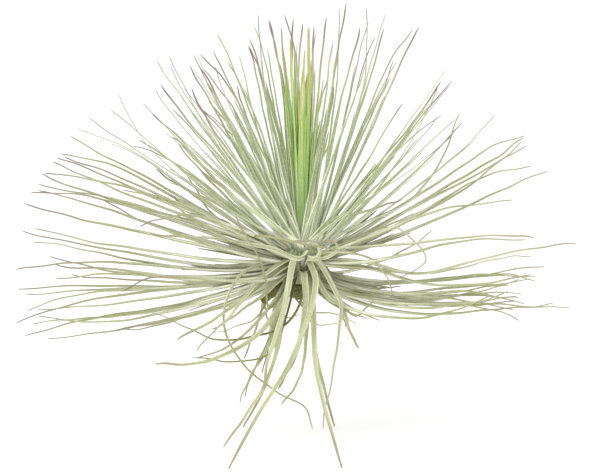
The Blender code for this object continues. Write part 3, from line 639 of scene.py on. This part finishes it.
class Form:
    """A mesh in the making: points, faces with their map corners, and the values painted on its points."""

    def __init__(self):
        self.points = []
        self.faces = []
        self.corners = []
        self.painted = {}
        self.count = 0

    def add_points(self, points, **values):
        """Adds points with their painted values, and gives the number of the first one."""
        first = self.count
        self.points.append(np.asarray(points, float))
        self.count += len(points)
        for name, value in values.items():
            filled = np.broadcast_to(np.asarray(value, float), (len(points),))
            self.painted.setdefault(name, []).append(filled)
        return first

    def add_face(self, face, corners):
        self.faces.append(face)
        self.corners.extend(corners)

    def loft(self, points, closed_tip, strip, shares, **values):
        """A tube through rings of points, with a cap at its root and a point or a cap at its tip.

        Strip gives where its map starts across the sheet, and how wide it is."""
        rings, sides = points.shape[:2]
        first = self.add_points(points.reshape(-1, 3), **{k: np.reshape(v, -1) for k, v in values.items()})
        left, wide = strip
        across = [left + wide * k / sides for k in range(sides + 1)]
        for i in range(rings - 1):
            low, high = first + i * sides, first + (i + 1) * sides
            v0, v1 = shares[i], shares[i + 1]
            for k in range(sides):
                n = (k + 1) % sides
                corners = ((across[k], v0), (across[k], v1), (across[k + 1], v1), (across[k + 1], v0))
                self.add_face((low + k, high + k, high + n, low + n), corners)
        around = range(sides)
        self.add_face([first + k for k in around], [(across[k], shares[0]) for k in around])
        last = first + (rings - 1) * sides
        if closed_tip is None:
            back = around[::-1]
            self.add_face([last + k for k in back], [(across[k], shares[-1]) for k in back])
            return
        end_values = {k: v.reshape(rings, sides)[-1:, 0] for k, v in values.items()}
        tip = self.add_points([closed_tip], **end_values)
        for k in range(sides):
            n = (k + 1) % sides
            middle = (across[k] + across[k + 1]) / 2
            corners = ((across[k], shares[-1]), (middle, 1), (across[k + 1], shares[-1]))
            self.add_face((last + k, tip, last + n), corners)

    def shrink_map(self):
        """Fits a map that was laid out in whole cells into the sheet."""
        cells = np.array(self.corners)
        self.corners = (cells / (math.floor(cells.max()) + 1)).tolist()

    def piece(self, name, material):
        """The form as an object, with its painted values as attributes and its strips as the baking map."""
        mesh = bpy.data.meshes.new(name)
        mesh.from_pydata(np.vstack(self.points) + np.array(AXIS), [], self.faces)
        for key, parts in self.painted.items():
            attribute = mesh.attributes.new(key, "FLOAT", "POINT")
            attribute.data.foreach_set("value", np.concatenate(parts).astype(np.float32))
        uv = mesh.uv_layers.new(name="OFBake")
        uv.data.foreach_set("uv", np.array(self.corners, np.float32).ravel())
        mesh.materials.append(material)
        mesh.shade_smooth()
        mesh.update()
        return placed(name, mesh)


def placed(name, data):
    """A new object in the scene that shows the given mesh, lamp or camera."""
    obj = bpy.data.objects.new(name, data)
    bpy.context.scene.collection.objects.link(obj)
    return obj


def hair_cell(form):
    """The next free cell of a form's map, row by row in a square that holds a piece's hairs."""
    number = len(form.faces) // 3
    return number % HAIR_CELLS, number // HAIR_CELLS


def kinks(leaf, s, points, rng):
    """How the fine leaf wavers off the course of its solid, more so towards its dry tip."""
    strength = KINK[leaf.tier] * s**KINK_POWER * (1 - s if leaf.foot else 1)
    offset = np.zeros_like(points)
    for axis in range(3):
        slow = np.sin(2 * math.pi * rng.uniform(*SLOW_WAVES) * s + rng.uniform(0, 6))
        quick = np.sin(2 * math.pi * rng.uniform(*QUICK_WAVES) * s + rng.uniform(0, 6))
        offset[:, axis] = strength * (SLOW_SHARE * slow + QUICK_SHARE * quick)
    return offset


def kind_of(leaf):
    return "own" if leaf.points else leaf.tier


def draws_for(number, strand):
    return random.Random(number + 1000 * strand)


def beside(leaf, s, points, normals, strand, rng):
    """How far one of two fine leaves runs off the middle of the solid that stands for both."""
    side = STRANDS[kind_of(leaf)][strand]
    if side == 0:
        return np.zeros_like(points)
    sideways = unit(np.cross(unit(np.gradient(points, axis=0)), normals))
    parting = STRAND_SPREAD * rng.uniform(*SPREAD_LIMITS) * s**SPREAD_POWER
    aside = side * (STRAND_ASIDE * leaf.half_width * (1 - s) + parting)
    lift = rng.gauss(0, 1) * STRAND_LIFT[leaf.tier] * s ** LIFT_POWER[leaf.tier]
    return sideways * aside[:, None] + normals * lift[:, None]


def dryness(leaf, s, strand, rng):
    """How dry a leaf is along its length: most of them die back to a dark thread, some only fade."""
    kind = kind_of(leaf)
    if kind == "lower" and strand:
        first, most = SECOND_DRY_FROM, rng.uniform(*SECOND_DRYNESS)
    elif kind == "lower" and math.cos(math.radians(leaf.bearing)) > RIGHT_COSINE:
        first, most = rng.uniform(*RIGHT_DRY_FROM), rng.uniform(*RIGHT_DRYNESS)
    else:
        first, most = rng.uniform(*DRY_FROM[kind]), TIP_DRYNESS[kind][strand]
    return most * eased((s - first) / (DRIEST_AT - first))


def felt_along(leaf, s, blunt):
    if leaf.half_width < THREAD_BELOW:
        return np.zeros_like(s)
    if blunt:
        felted = BLUNT_FELT - BLUNT_FELT_LOSS * s
    else:
        felted = 1 - FELT_LOSS[leaf.tier] * eased((s - FELT_FROM) / FELT_REACH[leaf.tier])
    return felted * CURLED_FELT if leaf.face_side else felted


def fine_section(s, half_width, deep):
    """Points round the leaf at each station, as (across, out of the inner face) and as a share of its width.

    Both faces are half ellipses from margin to margin. The inner one is shallower, which makes a channel."""
    near = (1 - s) ** CHANNEL_FADE
    edge = (MARGIN_RISE[0] + MARGIN_RISE[1] * near) * deep * MM
    keel = -(KEEL_DEPTH[0] + KEEL_DEPTH[1] * near) * deep * MM
    groove = keel + (BLADE_DEPTH[0] + BLADE_DEPTH[1] * near) * deep * MM
    outer = np.radians(OUTER_ANGLES)
    inner = np.radians(INNER_ANGLES)
    across = np.concatenate([np.sin(outer), INNER_SPREAD * np.sin(inner)])
    out_outer = edge[:, None] + (keel - edge)[:, None] * np.cos(outer)
    out_inner = edge[:, None] + (groove - edge)[:, None] * np.cos(inner)
    return half_width[:, None] * across, np.hstack([out_outer, out_inner]), across


def fine_half_width(leaf, s, blunt):
    """Half the width along a fine leaf, which has a sheath at its base and narrows at its very tip."""
    widest = leaf.half_width * FINE_SPREAD[kind_of(leaf)]
    thinnest = max(FINE_TIP_HALF_WIDTH[leaf.tier], FINE_TIP_SHARE[blunt] * leaf.half_width)
    blade = thinnest + (widest - thinnest) * (1 - s) ** FINE_TAPER[kind_of(leaf)]
    half_width = blade + FINE_SHEATH[leaf.tier] * np.clip(1 - s / SHEATH_SHARE, 0, 1) ** 2
    return half_width * (1 - TIP_NARROWING[blunt] * eased((s - (1 - NARROW_TIP)) / NARROW_TIP))


def add_leaf(form, leaf, number, strand, strip):
    """One fine leaf: a tapering channel that ends in a dry thread."""
    rng = draws_for(number, strand)
    points, normals = course(leaf)
    fine = np.linspace(0, 1, len(points))
    points = points + kinks(leaf, fine, points, rng) + beside(leaf, fine, points, normals, strand, rng)
    reach = rng.uniform(*SECOND_REACH[leaf.tier]) if strand else 1.0
    length = np.linalg.norm(np.diff(points, axis=0), axis=1).sum() * reach
    count = max(FEWEST_RINGS, round(length / RING_STEP[leaf.tier]))
    s = np.linspace(0, 1 if leaf.foot else LAST_RING, count)
    t = s * reach
    if leaf.foot:
        below = int(np.argmax(points[:, 2] < 0))
        high, low = points[below - 1, 2], points[below, 2]
        t = s * (fine[below - 1] + (fine[below] - fine[below - 1]) * high / (high - low))
    centre = sampled(points, fine, t)
    along = unit(sampled(np.gradient(points, axis=0), fine, t))
    sideways = unit(np.cross(along, sampled(normals, fine, t)))
    up = np.cross(sideways, along)
    twist = math.radians(rng.gauss(0, TWIST)) * s
    across = sideways * np.cos(twist)[:, None] + up * np.sin(twist)[:, None]
    up = np.cross(across, along)
    blunt = leaf.half_width > BLUNT_FROM
    half_width = fine_half_width(leaf, s, blunt)
    wide, out, share = fine_section(s, half_width, FINE_DEPTH[kind_of(leaf)])
    rings = centre[:, None] + across[:, None] * wide[..., None] + up[:, None] * out[..., None]
    if leaf.foot:
        rings[-1] -= along[-1] * (rings[-1][:, 2:] / along[-1][2])
    dry = dryness(leaf, s, strand, rng)
    inner = np.array([OUTER_GREEN[leaf.tier]] * len(OUTER_ANGLES) + [1.0] * len(INNER_ANGLES))
    inner *= BLUNT_GREEN if blunt else 1.0
    if leaf.half_width < THREAD_BELOW:
        inner[:] = 1.0
    felted = felt_along(leaf, s, blunt)
    sides = len(share)
    form.loft(
        rings, None if leaf.foot else sampled(points, fine, np.array([reach]))[0], strip, s,
        across=np.tile(share * (BLUNT_MARGIN if blunt else 1.0), count),
        inner=np.tile(inner, count),
        dry=np.repeat(dry, sides),
        tone=np.full(count * sides, rng.random()),
        felted=np.repeat(felted, sides),
        flecked=np.repeat(felted * (BLUNT_FLECKS if blunt else 1.0), sides),
        run=np.repeat(s * length / MM, sides),
        side=(wide / MM + LEAF_PATTERN_STEP * number + STRAND_PATTERN_STEP * strand).reshape(-1),
    )
    return rings, s, dry, length


def add_down(form, rings, s, dry, length, per_mm, rng):
    """Short pale hairs that stand off a leaf, most of them on its margins, each leaning towards its tip."""
    count = int(per_mm * length / MM * DOWNY_SHARE)
    draw = np.random.default_rng(rng.randrange(1 << 30))
    sides = rings.shape[1]
    right = len(OUTER_ANGLES) - 1
    place = draw.uniform(DOWN_FROM, 1, count) ** DOWN_TO_ROOT * (len(rings) - 1.001)
    ring = place.astype(int)
    part = (place - ring)[:, None]
    which = draw.random(count)
    anywhere = draw.integers(0, sides, count)
    corner = np.where(which < 2 * HAIRS_ON_A_MARGIN, right, anywhere)
    corner = np.where(which < HAIRS_ON_A_MARGIN, 0, corner)
    root = rings[ring, corner] * (1 - part) + rings[ring + 1, corner] * part
    ahead = unit(rings[ring + 1, corner] - rings[ring, corner] + 1e-9)
    off = unit(rings[ring, corner] - rings[ring].mean(1) + 1e-9)
    lean = off + ahead * draw.uniform(*HAIR_LEAN, (count, 1)) + draw.normal(0, HAIR_SCATTER, (count, 3))
    lean = unit(lean)
    reach = draw.uniform(*HAIR_LENGTH, (count, 1)) * (HAIR_FADE[0] - HAIR_FADE[1] * s[ring])[:, None]
    flat = unit(np.cross(lean, draw.normal(0, 1, (count, 3))))
    other = np.cross(lean, flat)
    root = root - lean * HAIR_ROOT_DEPTH
    corners = [flat, -0.5 * flat + 0.87 * other, -0.5 * flat - 0.87 * other]
    points = np.stack([root + c * HAIR_HALF_WIDTH for c in corners] + [root + lean * reach], 1)
    tones = np.repeat(draw.random(count), 4)
    first = form.add_points(points.reshape(-1, 3), dry=np.repeat(dry[ring], 4), tone=tones)
    for k in range(count):
        base = first + 4 * k
        u, v = hair_cell(form)
        cell = ((u, v), (u + CELL_SHARE, v), (u, v + CELL_SHARE))
        for a, b in ((0, 1), (1, 2), (2, 0)):
            form.add_face((base + a, base + b, base + 3), cell)


def add_core(form, profile, strip):
    """The body that the leaf bases wrap, ridged like overlapping sheaths."""
    angles = np.linspace(0, 2 * math.pi, CORE_SIDES, endpoint=False)
    rows = through([(r / MM, 0, z / MM) for r, z in profile], CORE_ROWS) * MM
    rings = []
    for r, _, z in rows:
        ridged = r * (1 + RIDGE_HEIGHT * np.sin(RIDGES * angles + z / MM * RIDGE_TWIST_PER_MM))
        rings.append(np.stack([ridged * np.cos(angles), ridged * np.sin(angles), np.full(CORE_SIDES, z)], -1))
    form.loft(
        np.array(rings)[:, ::-1], None, strip, np.linspace(0, 1, len(rings)),
        across=np.tile(np.sin(RIDGES * angles), len(rings)),
        inner=1.0, dry=0.0, tone=0.5, felted=0.5, flecked=0.5,
        run=np.repeat(np.array([z for _, _, z in rows]) / MM, CORE_SIDES),
        side=np.tile(angles * 8, len(rings)),
    )


def leaf_pieces(tier, leaves, core, material, down, node):
    """The fine leaves of one tier with the body that they grow from, in place of its node, and their down."""
    form, hairs = Form(), Form()
    mine = [
        (number, leaf, strand)
        for number, leaf in enumerate(leaves)
        if leaf.tier == tier
        for strand in range(len(STRANDS[kind_of(leaf)]))
    ]
    pitch = 1 / (len(mine) + 2)
    for k, (number, leaf, strand) in enumerate(mine):
        shape = add_leaf(form, leaf, number, strand, (k * pitch, pitch * STRIP_SHARE))
        add_down(hairs, *shape, HAIRS_PER_MM[tier], draws_for(number, strand))
    add_core(form, core, (len(mine) * pitch, pitch * (1 + STRIP_SHARE)))
    hairs.shrink_map()
    leaf_mesh = form.piece(f"{node}_fine", material)
    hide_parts(node)
    hair_mesh = hairs.piece(f"{node}_down", down)
    for piece in (leaf_mesh, hair_mesh):
        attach(piece, "root")


def linear(red, green, blue):
    """A colour given as it looks on a screen, in 0 to 255, as linear light that is fully opaque."""
    screen = np.array([red, green, blue]) / 255
    light = np.where(screen <= 0.04045, screen / 12.92, ((screen + 0.055) / 1.055) ** 2.4)
    return (*light.tolist(), 1.0)


class Paint:
    """Builds a material's nodes. Each method gives the socket that carries its result."""

    def __init__(self, name, roughness, sheen=0.0):
        self.material = bpy.data.materials.new(name)
        self.material.use_nodes = True
        self.tree = self.material.node_tree
        self.shader = self.tree.nodes["Principled BSDF"]
        finish = {"Roughness": roughness, "Sheen Weight": sheen, "Sheen Roughness": 0.5}
        finish["Specular IOR Level"] = 0.25
        for socket, value in finish.items():
            self.shader.inputs[socket].default_value = value

    def put(self, socket, value):
        if isinstance(value, bpy.types.NodeSocket):
            self.tree.links.new(value, socket)
        else:
            socket.default_value = value

    def node(self, kind, *inputs, **settings):
        """A new node with the given settings, and its first inputs filled."""
        node = self.tree.nodes.new("ShaderNode" + kind)
        for name, setting in settings.items():
            setattr(node, name, setting)
        for socket, given in zip(node.inputs, inputs):
            self.put(socket, given)
        return node

    def value(self, name):
        return self.node("Attribute", attribute_name=name).outputs["Fac"]

    def math(self, operation, a, b=0.0):
        return self.node("Math", a, b, operation=operation).outputs[0]

    def times(self, a, b):
        return self.math("MULTIPLY", a, b)

    def between(self, value, low, high, start=0.0, end=1.0):
        """A smooth step of a value, from start where it is low to end where it is high."""
        node = self.node("MapRange", value, low, high, start, end, interpolation_type="SMOOTHSTEP")
        return node.outputs["Result"]

    def mix(self, share, a, b):
        node = self.node("Mix", data_type="RGBA")
        colours = [socket for socket in node.inputs if socket.type == "RGBA"]
        self.put(node.inputs["Factor"], share)
        self.put(colours[0], a)
        self.put(colours[1], b)
        return [socket for socket in node.outputs if socket.type == "RGBA"][0]

    def at(self, x, y, z=0.0):
        return self.node("CombineXYZ", x, y, z).outputs[0]

    def noise(self, where, scale, detail=2.0):
        node = self.node("TexNoise")
        node.inputs["Scale"].default_value = scale
        node.inputs["Detail"].default_value = detail
        self.put(node.inputs["Vector"], where)
        return node.outputs["Fac"]

    def place(self):
        return self.node("TexCoord").outputs["Object"]

    def bump(self, height, depth, strength):
        node = self.node("Bump")
        node.inputs["Strength"].default_value = strength
        node.inputs["Distance"].default_value = depth
        self.put(node.inputs["Height"], height)
        self.put(self.shader.inputs["Normal"], node.outputs["Normal"])

    def colour(self, socket):
        self.put(self.shader.inputs["Base Color"], socket)
        return self.material


# Colours that the leaf materials share
PALE = linear(234, 238, 204)
FELT = linear(234, 236, 216)
# BRIGHT is the pale felt lightened further: painted light that offsets the shade deep between the leaf bases
BRIGHT = linear(250, 251, 232)
# OLIVE and DEEP_GREEN are painted shade: they stand in for the shade deep between the leaf bases
OLIVE = linear(114, 116, 38)
DEEP_GREEN = linear(98, 150, 68)
DRY = linear(154, 145, 119)
DEAD = linear(120, 107, 99)
OCHRE = linear(184, 182, 112)

# The patterns on a leaf: how closely they are set, per mm across it and along it
STREAKS = (1.5, 0.05)
SCALES = (1.8, 0.9)
PATCHES = (0.3, 0.06)

# Between which runs from the root, in mm, the bright felt and its painted light end, and how high and strong
# the bumps are
BRIGHT_TO = (2.0, 26.0)
SCALE_DEPTH = 0.12 * MM
SCALE_STRENGTH = 0.5


def leaf_material(
    name, young, old, groove, stripe, margins, base, felt, streaked, painted_root_shade, bright, fading=DRY
):
    """Leaf under a felt of pale scales: greener in its groove, whiter on its margins, dry at its tip.

    Across a leaf 0 is its middle and 1 its edge. Stripe is where the groove stops being green, and margins
    where the edges turn pale. Base, felt, streaked and bright are how strong the pale cover, the flecks, the
    green streaks, which also serve as painted shade lines along the leaf, and the bright felt near the root
    are;
    that bright felt is lightened further as painted light against the shade between the leaf bases. The
    painted root shade (sunk) stands in for the shade deep between the leaf bases: its colour, how far up in
    mm it reaches, and how strong it is outside the groove."""
    paint = Paint(name, roughness=0.72, sheen=0.25)
    across = paint.math("ABSOLUTE", paint.value("across"))
    run = paint.value("run")
    side = paint.value("side")
    dry = paint.value("dry")
    felted = paint.value("felted")

    def pattern(steps):
        return paint.noise(paint.at(paint.times(side, steps[0]), paint.times(run, steps[1])), 1.0)

    streaks, scales = pattern(STREAKS), pattern(SCALES)
    body = paint.mix(paint.between(paint.value("tone"), 0.0, 1.0), young, old)
    body = paint.mix(paint.between(pattern(PATCHES), 0.35, 0.7, 0.0, 0.4), body, old)
    body = paint.mix(paint.between(felted, 0.3, 1.0, 0.0, base), body, PALE)
    in_groove = paint.times(paint.value("inner"), paint.between(across, *stripe, 1.0, 0.0))
    body = paint.mix(paint.times(in_groove, 0.7), body, groove)
    body = paint.mix(paint.times(felted, paint.between(across, *margins, 0.0, 0.85)), body, FELT)
    flecks = paint.times(paint.value("flecked"), paint.between(scales, 0.48, 0.62, 0.0, felt))
    body = paint.mix(flecks, body, FELT)
    # Painted shade near the root: the groove, and the margins by their share, turn to the shade's dark colour
    shaded, depth, margin_share = painted_root_shade
    where = paint.math("MAXIMUM", in_groove, margin_share)
    near_base = paint.between(run, depth * 0.3, depth, 0.8, 0.0)
    body = paint.mix(paint.times(where, near_base), body, shaded)
    # The streaks are fine green striations that also serve as painted shade lines along the leaf
    body = paint.mix(paint.between(streaks, 0.36, 0.6, streaked, 0.0), body, groove)
    # Painted light on top of the pale felt at the root, off the groove, lightening the shade between the leaf
    # bases
    felt_and_painted_light_at_root = paint.times(felted, paint.between(run, *BRIGHT_TO, bright, 0.0))
    off_groove = paint.between(in_groove, 0.1, 0.6, 1.0, 0.25)
    body = paint.mix(paint.times(felt_and_painted_light_at_root, off_groove), body, BRIGHT)
    body = paint.mix(paint.between(dry, 0.0, 0.6), body, fading)
    body = paint.mix(paint.between(dry, 0.55, 1.0), body, DEAD)
    paint.bump(paint.math("ADD", scales, streaks), SCALE_DEPTH, SCALE_STRENGTH)
    return paint.colour(body)


def down_material():
    """Near white hairs, dull where the leaf is dry."""
    paint = Paint("down", roughness=0.6, sheen=0.4)
    body = paint.mix(paint.value("tone"), linear(186, 191, 156), linear(214, 216, 194))
    return paint.colour(paint.mix(paint.between(paint.value("dry"), 0.3, 1.0), body, linear(150, 136, 118)))


def bark_material():
    """Dry woody stock and roots, dark olive to grey brown."""
    paint = Paint("bark", roughness=0.9)
    grain = paint.noise(paint.place(), 900.0, 4.0)
    patches = paint.noise(paint.place(), 160.0)
    body = paint.mix(paint.between(grain, 0.35, 0.65), linear(88, 88, 44), linear(130, 128, 82))
    body = paint.mix(paint.between(patches, 0.4, 0.7), body, linear(104, 102, 60))
    body = paint.mix(paint.value("wiry"), body, linear(192, 192, 142))
    paint.bump(grain, 0.00015, 0.5)
    return paint.colour(body)


def add_tube(form, centres, radii, sides, strip, roughness, rng, wiry=0.0):
    """A round tube along a curve. Roughness is how uneven its rings are, wiry how pale its tip is."""
    along = unit(np.gradient(centres, axis=0))
    side = unit(np.cross(along, (0, 1.0, 0)))
    other = np.cross(along, side)
    angles = np.linspace(0, 2 * math.pi, sides, endpoint=False)
    phases = [rng.uniform(0, 6) for _ in range(3)]
    rings = []
    for k, centre in enumerate(centres):
        swell = 1 + roughness * (
            np.sin(2 * angles + phases[0] + k * 0.7)
            + 0.6 * np.sin(5 * angles + phases[1] - k * 0.5)
            + 0.8 * math.sin(k * 1.9 + phases[2])
        )
        ring = side[k] * np.cos(angles)[:, None] + other[k] * np.sin(angles)[:, None]
        rings.append(centre + ring * (radii[k] * swell)[:, None])
    shares = np.linspace(0, 1, len(rings))
    form.loft(np.array(rings), None, strip, shares, wiry=np.repeat(wiry * shares**0.4, sides))


def stock_piece():
    """The short woody stock, and the wiry roots that leave it."""
    rng = random.Random(SEED)
    form = Form()
    pitch = 1 / (len(WIRY_ROOTS) + 3)
    stock = through(STOCK_POINTS, STOCK_RINGS) * MM
    radii = through([(r, 0, 0) for r in STOCK_RADII], STOCK_RINGS)[:, 0] * MM
    add_tube(form, stock, radii, STOCK_SIDES, (0, pitch * 2.9), STOCK_UNEVEN, rng)
    for k, path in enumerate(WIRY_ROOTS):
        bend = through(path, ROOT_RINGS_PER_POINT * len(path)) * MM
        s = np.linspace(0, 1, len(bend))
        for axis in range(3):
            waver = np.sin(2 * math.pi * rng.uniform(*ROOT_WAVES) * s + rng.uniform(0, 6))
            bend[:, axis] += ROOT_WAVER * s * waver
        radii = ROOT_HALF_WIDTH * (ROOT_TAPER[0] - ROOT_TAPER[1] * s)
        strip = ((3 + k) * pitch, pitch * 0.9)
        add_tube(form, bend, radii, ROOT_SIDES, strip, ROOT_UNEVEN, rng, wiry=ROOT_PALENESS)
    piece = form.piece("stock_and_roots", bark_material())
    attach(piece, "root")
    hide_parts("stock_roots")


def studio():
    """A plain pale floor, a soft bright room and one large soft lamp in front, above and to the left."""
    bpy.ops.mesh.primitive_plane_add(size=12)
    floor = bpy.context.object
    floor.name = "floor"
    material = bpy.data.materials.new("pale_floor")
    material.use_nodes = True
    shader = material.node_tree.nodes["Principled BSDF"]
    shader.inputs["Base Color"].default_value = (0.97, 0.97, 0.97, 1)
    shader.inputs["Roughness"].default_value = 0.9
    floor.data.materials.append(material)
    world = bpy.data.worlds.new("bright_room")
    world.use_nodes = True
    background = world.node_tree.nodes["Background"]
    background.inputs["Color"].default_value = (1, 1, 1, 1)
    background.inputs["Strength"].default_value = 1.1
    bpy.context.scene.world = world
    lamp = bpy.data.lights.new("soft_lamp", "AREA")
    lamp.shape = "DISK"
    lamp.size = 0.8
    lamp.energy = 9
    holder = placed("soft_lamp", lamp)
    holder.location = (-0.5, -0.7, 1.1)
    x, y, z = np.array([0, 0, 0.1]) - np.array(holder.location)
    holder.rotation_euler = (math.atan2(math.hypot(x, y), -z), 0, math.atan2(y, x) - math.pi / 2)


def camera():
    """The camera at the photo's viewing angle, aimed at the crown."""
    data = bpy.data.cameras.new("camera")
    data.sensor_width = SENSOR_WIDTH
    distance = SEEN_DISTANCE * MM
    data.lens = SENSOR_WIDTH * distance / VIEW_WIDTH
    data.clip_start = 0.01
    data.shift_x = -CROWN_OFF_CENTRE_PX[0] / FRAME_WIDTH_PX
    data.shift_y = CROWN_OFF_CENTRE_PX[1] / FRAME_WIDTH_PX
    holder = placed("camera", data)
    rise = math.radians(SEEN_FROM)
    holder.location = (AXIS[0], AXIS[1] - math.cos(rise) * distance, CROWN_Z + math.sin(rise) * distance)
    holder.rotation_euler = (math.pi / 2 - rise, 0, 0)
    bpy.context.scene.camera = holder
    bpy.context.scene.view_settings.view_transform = "Standard"


camera()
studio()

green = leaf_material(
    "green_leaf", young=linear(170, 208, 98), old=linear(190, 206, 116), groove=linear(138, 188, 78),
    stripe=(0.0, 0.5), margins=(0.42, 0.85), base=0.3, felt=0.55, streaked=0.3, painted_root_shade=(DEEP_GREEN, 34, 0.3),
    bright=0.1, fading=OCHRE,
)
silver = leaf_material(
    "silver_leaf", young=linear(164, 172, 124), old=linear(180, 182, 148), groove=linear(128, 154, 92),
    stripe=(0.2, 0.8), margins=(0.66, 0.96), base=0.85, felt=0.65, streaked=0.32, painted_root_shade=(OLIVE, 8, 0.3),
    bright=1.0,
)
pale = leaf_material(
    "pale_leaf", young=linear(142, 148, 92), old=linear(156, 158, 112), groove=linear(108, 120, 52),
    stripe=(0.0, 0.5), margins=(0.42, 0.85), base=0.42, felt=0.45, streaked=0.4, painted_root_shade=(OLIVE, 16, 0.8),
    bright=0.12,
)
down = down_material()
leaves = grown_leaves()
leaf_pieces("heart", leaves, HEART_CORE, green, down, "heart_leaves")
leaf_pieces("fan", leaves, FAN_CORE, silver, down, "upper_leaves")
leaf_pieces("lower", leaves, LOWER_CORE, pale, down, "lower_leaves")
stock_piece()
